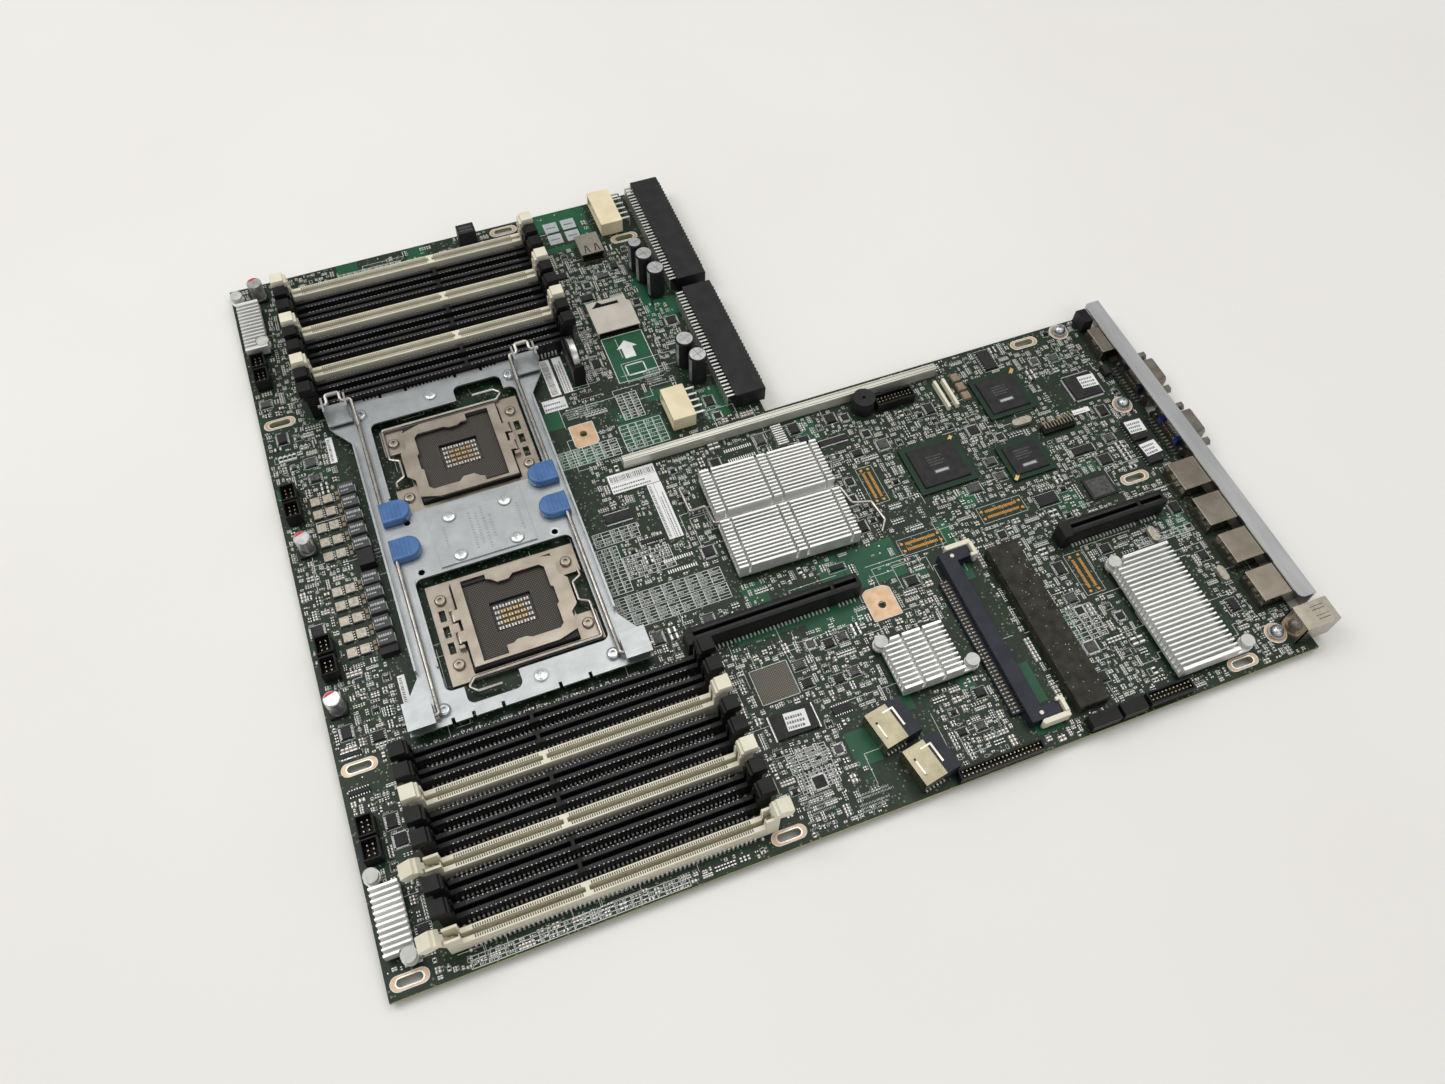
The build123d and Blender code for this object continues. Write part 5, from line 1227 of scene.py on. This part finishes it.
ports = Mesh()
for cx, cy in ((236.4, 34.3), (244.8, 12.9)):
    ports.move = about(cx, cy, 10.5)
    ports.boxes("shell", (-9.4, 2.0, -9.1, 9.1, 0.05, 9.6))
    ports.boxes("navy", (2.0, 9.4, -9.2, 9.2, 7.9, 9.5), (2.0, 9.4, -9.2, 9.2, 0.0, 1.9),
                (2.0, 9.4, -9.2, -7.7, 1.9, 7.9), (2.0, 9.4, 7.7, 9.2, 1.9, 7.9))
    ports.boxes("black", (2.0, 2.4, -7.7, 7.7, 1.9, 7.9))
    ports.boxes("silver", (3.2, 4.2, -3.6, 6.4, 9.4, 9.6), (-1.6, 3.4, 5.6, 6.4, 9.5, 9.62),
                (-7.0, -6.2, -4.6, 2.6, 9.58, 9.64))
    for k in range(2):
        ports.box((-7.2, -6.2), (2.4 - 7.4 * k, 3.8 - 7.4 * k), (9.59, 9.62), "black")
    for k in range(6):
        ports.box((-8.0 + k * 1.9, -7.3 + k * 1.9), (-9.7, -9.05), (0, 1.2), "solder")
finish_mesh(ports, "storage_port_shells", "shell", bevel=0.2, replaces="storage_ports")

slot = Mesh()
slot.prism([(185.3, 302.6), (209.9, 302.6), (209.9, 321.0), (208.2, 322.4), (208.2, 326.2),
            (185.3, 326.2)], (3.3, 3.98), "card")
slot.boxes("card", (185.3, 186.0, 302.6, 326.2, 0, 3.3), (209.2, 209.9, 302.6, 321.0, 0, 3.3))
slot.boxes("black", (186.0, 209.2, 302.8, 325.8, 0.05, 0.7))
slot.prism([(187.6, 321.4), (190.0, 323.6), (192.0, 325.8), (194.0, 323.4), (203.4, 323.4),
            (203.4, 321.2)], (3.96, 4.0), "black")
for k in range(8):
    slot.box((190.6 + k * 1.6, 191.3 + k * 1.6), (321.6, 324.2), (3.97, 4.0), "silver")
for x, y in ((184.9, 305.0), (184.9, 320.0), (210.1, 305.0), (210.1, 316.0)):
    slot.box(wide(x, 0.8), (y, y + 1.6), (0, 0.6), "silver")
finish_mesh(slot, "card_slot_shell", "silver", bevel=0.1, replaces="card_slot")

usb = Mesh()
# The stacked pair at the rear, then the single port inside.
usb.boxes("usb_steel", (436.5, 455.1, 5.3, 18.1, 13.9, 14.5), (436.5, 437.2, 5.3, 18.1, 0, 13.9),
          (436.5, 455.1, 5.3, 5.9, 0, 13.9), (436.5, 455.1, 17.5, 18.1, 0, 13.9))
usb.boxes("black", (437.2, 446.0, 5.9, 17.5, 0.1, 13.8), (446.2, 454.3, 6.5, 16.9, 5.3, 6.4),
          (446.2, 454.3, 6.5, 16.9, 12.3, 13.4))
usb.boxes("usb_steel", (446.0, 455.1, 5.9, 17.5, 6.5, 7.9), (446.0, 455.1, 5.9, 17.5, 0.0, 0.9))
for y in (8.6, 13.6):
    usb.boxes("usb_steel", (445, 451, y, y + 1.4, 14.5, 14.6))
    usb.boxes("black", (444.4, 451.4, y - 0.35, y - 0.1, 14.49, 14.56),
              (444.4, 451.4, y + 1.5, y + 1.75, 14.49, 14.56))
for x, z in (((194.5, 208.1), (6.3, 6.98)), ((194.5, 195.1), (0, 6.3)),
             ((207.5, 208.1), (0, 6.3)), ((195.1, 207.5), (0, 0.6))):
    usb.box(x, (360.6, 376.7), z, "usb_steel")
usb.boxes("black", (195.1, 207.5, 369.6, 376.6, 0.6, 6.3), (195.9, 206.7, 361.0, 369.6, 5.1, 6.2))
for x in (197.4, 203.4):
    for a, b in ((0.0, 1.0), (2.6, 1.6)):
        near, far = wide(x + a, 0.35), wide(x + b, 0.35)
        usb.add([(near[0], 361.6, 6.99), (near[1], 361.6, 6.99), (far[1], 367.4, 6.99),
                 (far[0], 367.4, 6.99)], [(0, 1, 2, 3)], "black")
finish_mesh(usb, "usb_shells", "silver", bevel=0.15, replaces="usb_ports")

rear = Mesh()
for y in (36.1, 59.0, 81.9, 104.8, 199.4):   # network jacks
    for k in range(8):
        rear.box((445.5, 450.5), (y - 3.7 + k * 1.02, y - 3.3 + k * 1.02), (2.6, 2.9), "gold")
    for s in (-1, 1):
        rear.box((454.4, 455.3), beside(y, s, 6.6, 8.2), (4.6, 6.6), "pour")
        rear.box((456.15, 456.7), beside(y, s, 6.5, 7.1), (-4.4, 6.9), "zinc")
    rear.box((456.15, 456.7), wide(y, 7.1), (6.9, 7.5), "zinc")
# The video and serial ports: the face and its contacts, then the body behind the bracket.
for y, face, block, rows, contact in ((134.7, "video_blue", "video_blue", 3, "black"),
                                      (172.3, "black", "navy", 2, "gold")):
    rear.box((456.0, 463.4), wide(y, 7.4), (-1.5, 5.3), face)
    for j in range(rows):
        z = -0.3 + j * 2.0 + (1 if rows == 2 else 0)
        for i in range(5 - (j % 2 if rows == 2 else 0)):
            py = y - 4.6 + i * 2.3 + (0.6 if j % 2 else 0)
            rear.box((463.3, 463.5), wide(py, 0.4), wide(z, 0.4), contact)
    rear.box((446.6, 450.0), wide(y, 15.2), (-0.6, 1.4), "satin_black")
    for s in (-1, 1):
        rear.box((446.9, 450.0), beside(y, s, 5.8, 8.6), (1.4, 5.2), block)
        rear.box((447.4, 448.6), beside(y, s, 11.6, 12.8), (1.4, 2.4), "silver")
    for k in range(10):
        pin = (y - 5.4 + k * 1.14, y - 4.9 + k * 1.14)
        rear.box((447.5, 450.0), pin, (3.6, 4.1), "silver")
        rear.box((447.4, 447.9), pin, (1.4, 4.1), "pin")
    for k in range(12):
        a = y + k * 2.2
        rear.box((444.0, 446.4), (a - 13.2, a - 12.4), (0.0, 0.5), "silver")
        rear.box((441.6, 443.2), (a - 13.4, a - 12.2), (0.0, 0.8), "satin_black")
rear.box((438.6, 439.9), (187.2, 189.6), (0.0, 2.2), "silver")
rear.box((437.2, 440.2), (180.0, 186.4), (0.0, 3.4), "satin_black")
for x, y in PANEL_SCREWS:
    rear.disc(x, y, (0.05, 1.3), 4.1, "zinc", 32, 3.9)
    rear.disc(x, y, (1.3, 2.9), 3.5, "zinc", 32, 2.9)
    rear.box(wide(x, 1.9), wide(y, 0.25), (2.9, 2.93), "satin_black")
    rear.box(wide(x, 0.25), wide(y, 1.9), (2.9, 2.94), "satin_black")
for k in range(9):
    rear.box((441.2, 446.6), (213.2 + k, 213.7 + k), (0, 9.0), "satin_black")
rear.box((441.0, 447.2), (212.8, 222.6), (0, 8.6), "satin_black", 0.2)
finish_mesh(rear, "rear_port_details", "dark_plastic", bevel=0.08)


# ---- floor, light and camera ---------------------------------------------------------------------

bpy.ops.mesh.primitive_plane_add(size=8, location=(0.5, 0.8, -0.0001))
floor = bpy.context.object
floor.name = "floor"
tree = Tree("pale_floor")
shade = tree.mix(tree.span(tree.noise(260, 3), 0.3, 0.7), (0.80, 0.785, 0.765), (0.83, 0.82, 0.80))
tree.set(Base_Color=shade, Roughness=0.75)
tree.bump(tree.noise(12, 3), 0.05, 1.0)
floor.data.materials.append(tree.mat)

world = bpy.data.worlds.new("studio")
bpy.context.scene.world = world
world.use_nodes = True
background = world.node_tree.nodes["Background"]
background.inputs[0].default_value = (1.0, 0.995, 0.985, 1)
background.inputs[1].default_value = 0.5


def softbox(name, at, target, size, watts, colour=(1, 1, 1)):
    lamp = bpy.data.lights.new(name, "AREA")
    lamp.shape, lamp.energy, lamp.color = "RECTANGLE", watts, colour
    lamp.size, lamp.size_y = size
    piece = bpy.data.objects.new(name, lamp)
    piece.location = at
    aim = Vector(target) - Vector(at)
    piece.rotation_euler = aim.to_track_quat("-Z", "Y").to_euler()
    bpy.context.scene.collection.objects.link(piece)


softbox("key", (-0.9, 0.5, 1.5), (0, 0, 0), (1.0, 0.8), 10, (1.0, 0.995, 0.98))
softbox("top", (0.55, 0.35, 1.9), (0.25, 0, 0), (1.6, 1.2), 12, (1.0, 0.985, 0.94))
softbox("front", (0.2, -1.3, 1.2), (0, 0, 0), (1.4, 0.6), 3)

camera = bpy.data.cameras.new("view")
camera.sensor_width, camera.lens = 36.0, 28.794
camera.clip_start = 0.01
eye = bpy.data.objects.new("view", camera)
turn = Quaternion((0.9455831, 0.2679578, -0.0599029, -0.1745931))
eye.matrix_world = Matrix.Translation((-0.14955, -0.32864, 0.49288)) @ turn.to_matrix().to_4x4()
bpy.context.scene.collection.objects.link(eye)
bpy.context.scene.camera = eye
bpy.context.scene.view_settings.view_transform = "Standard"
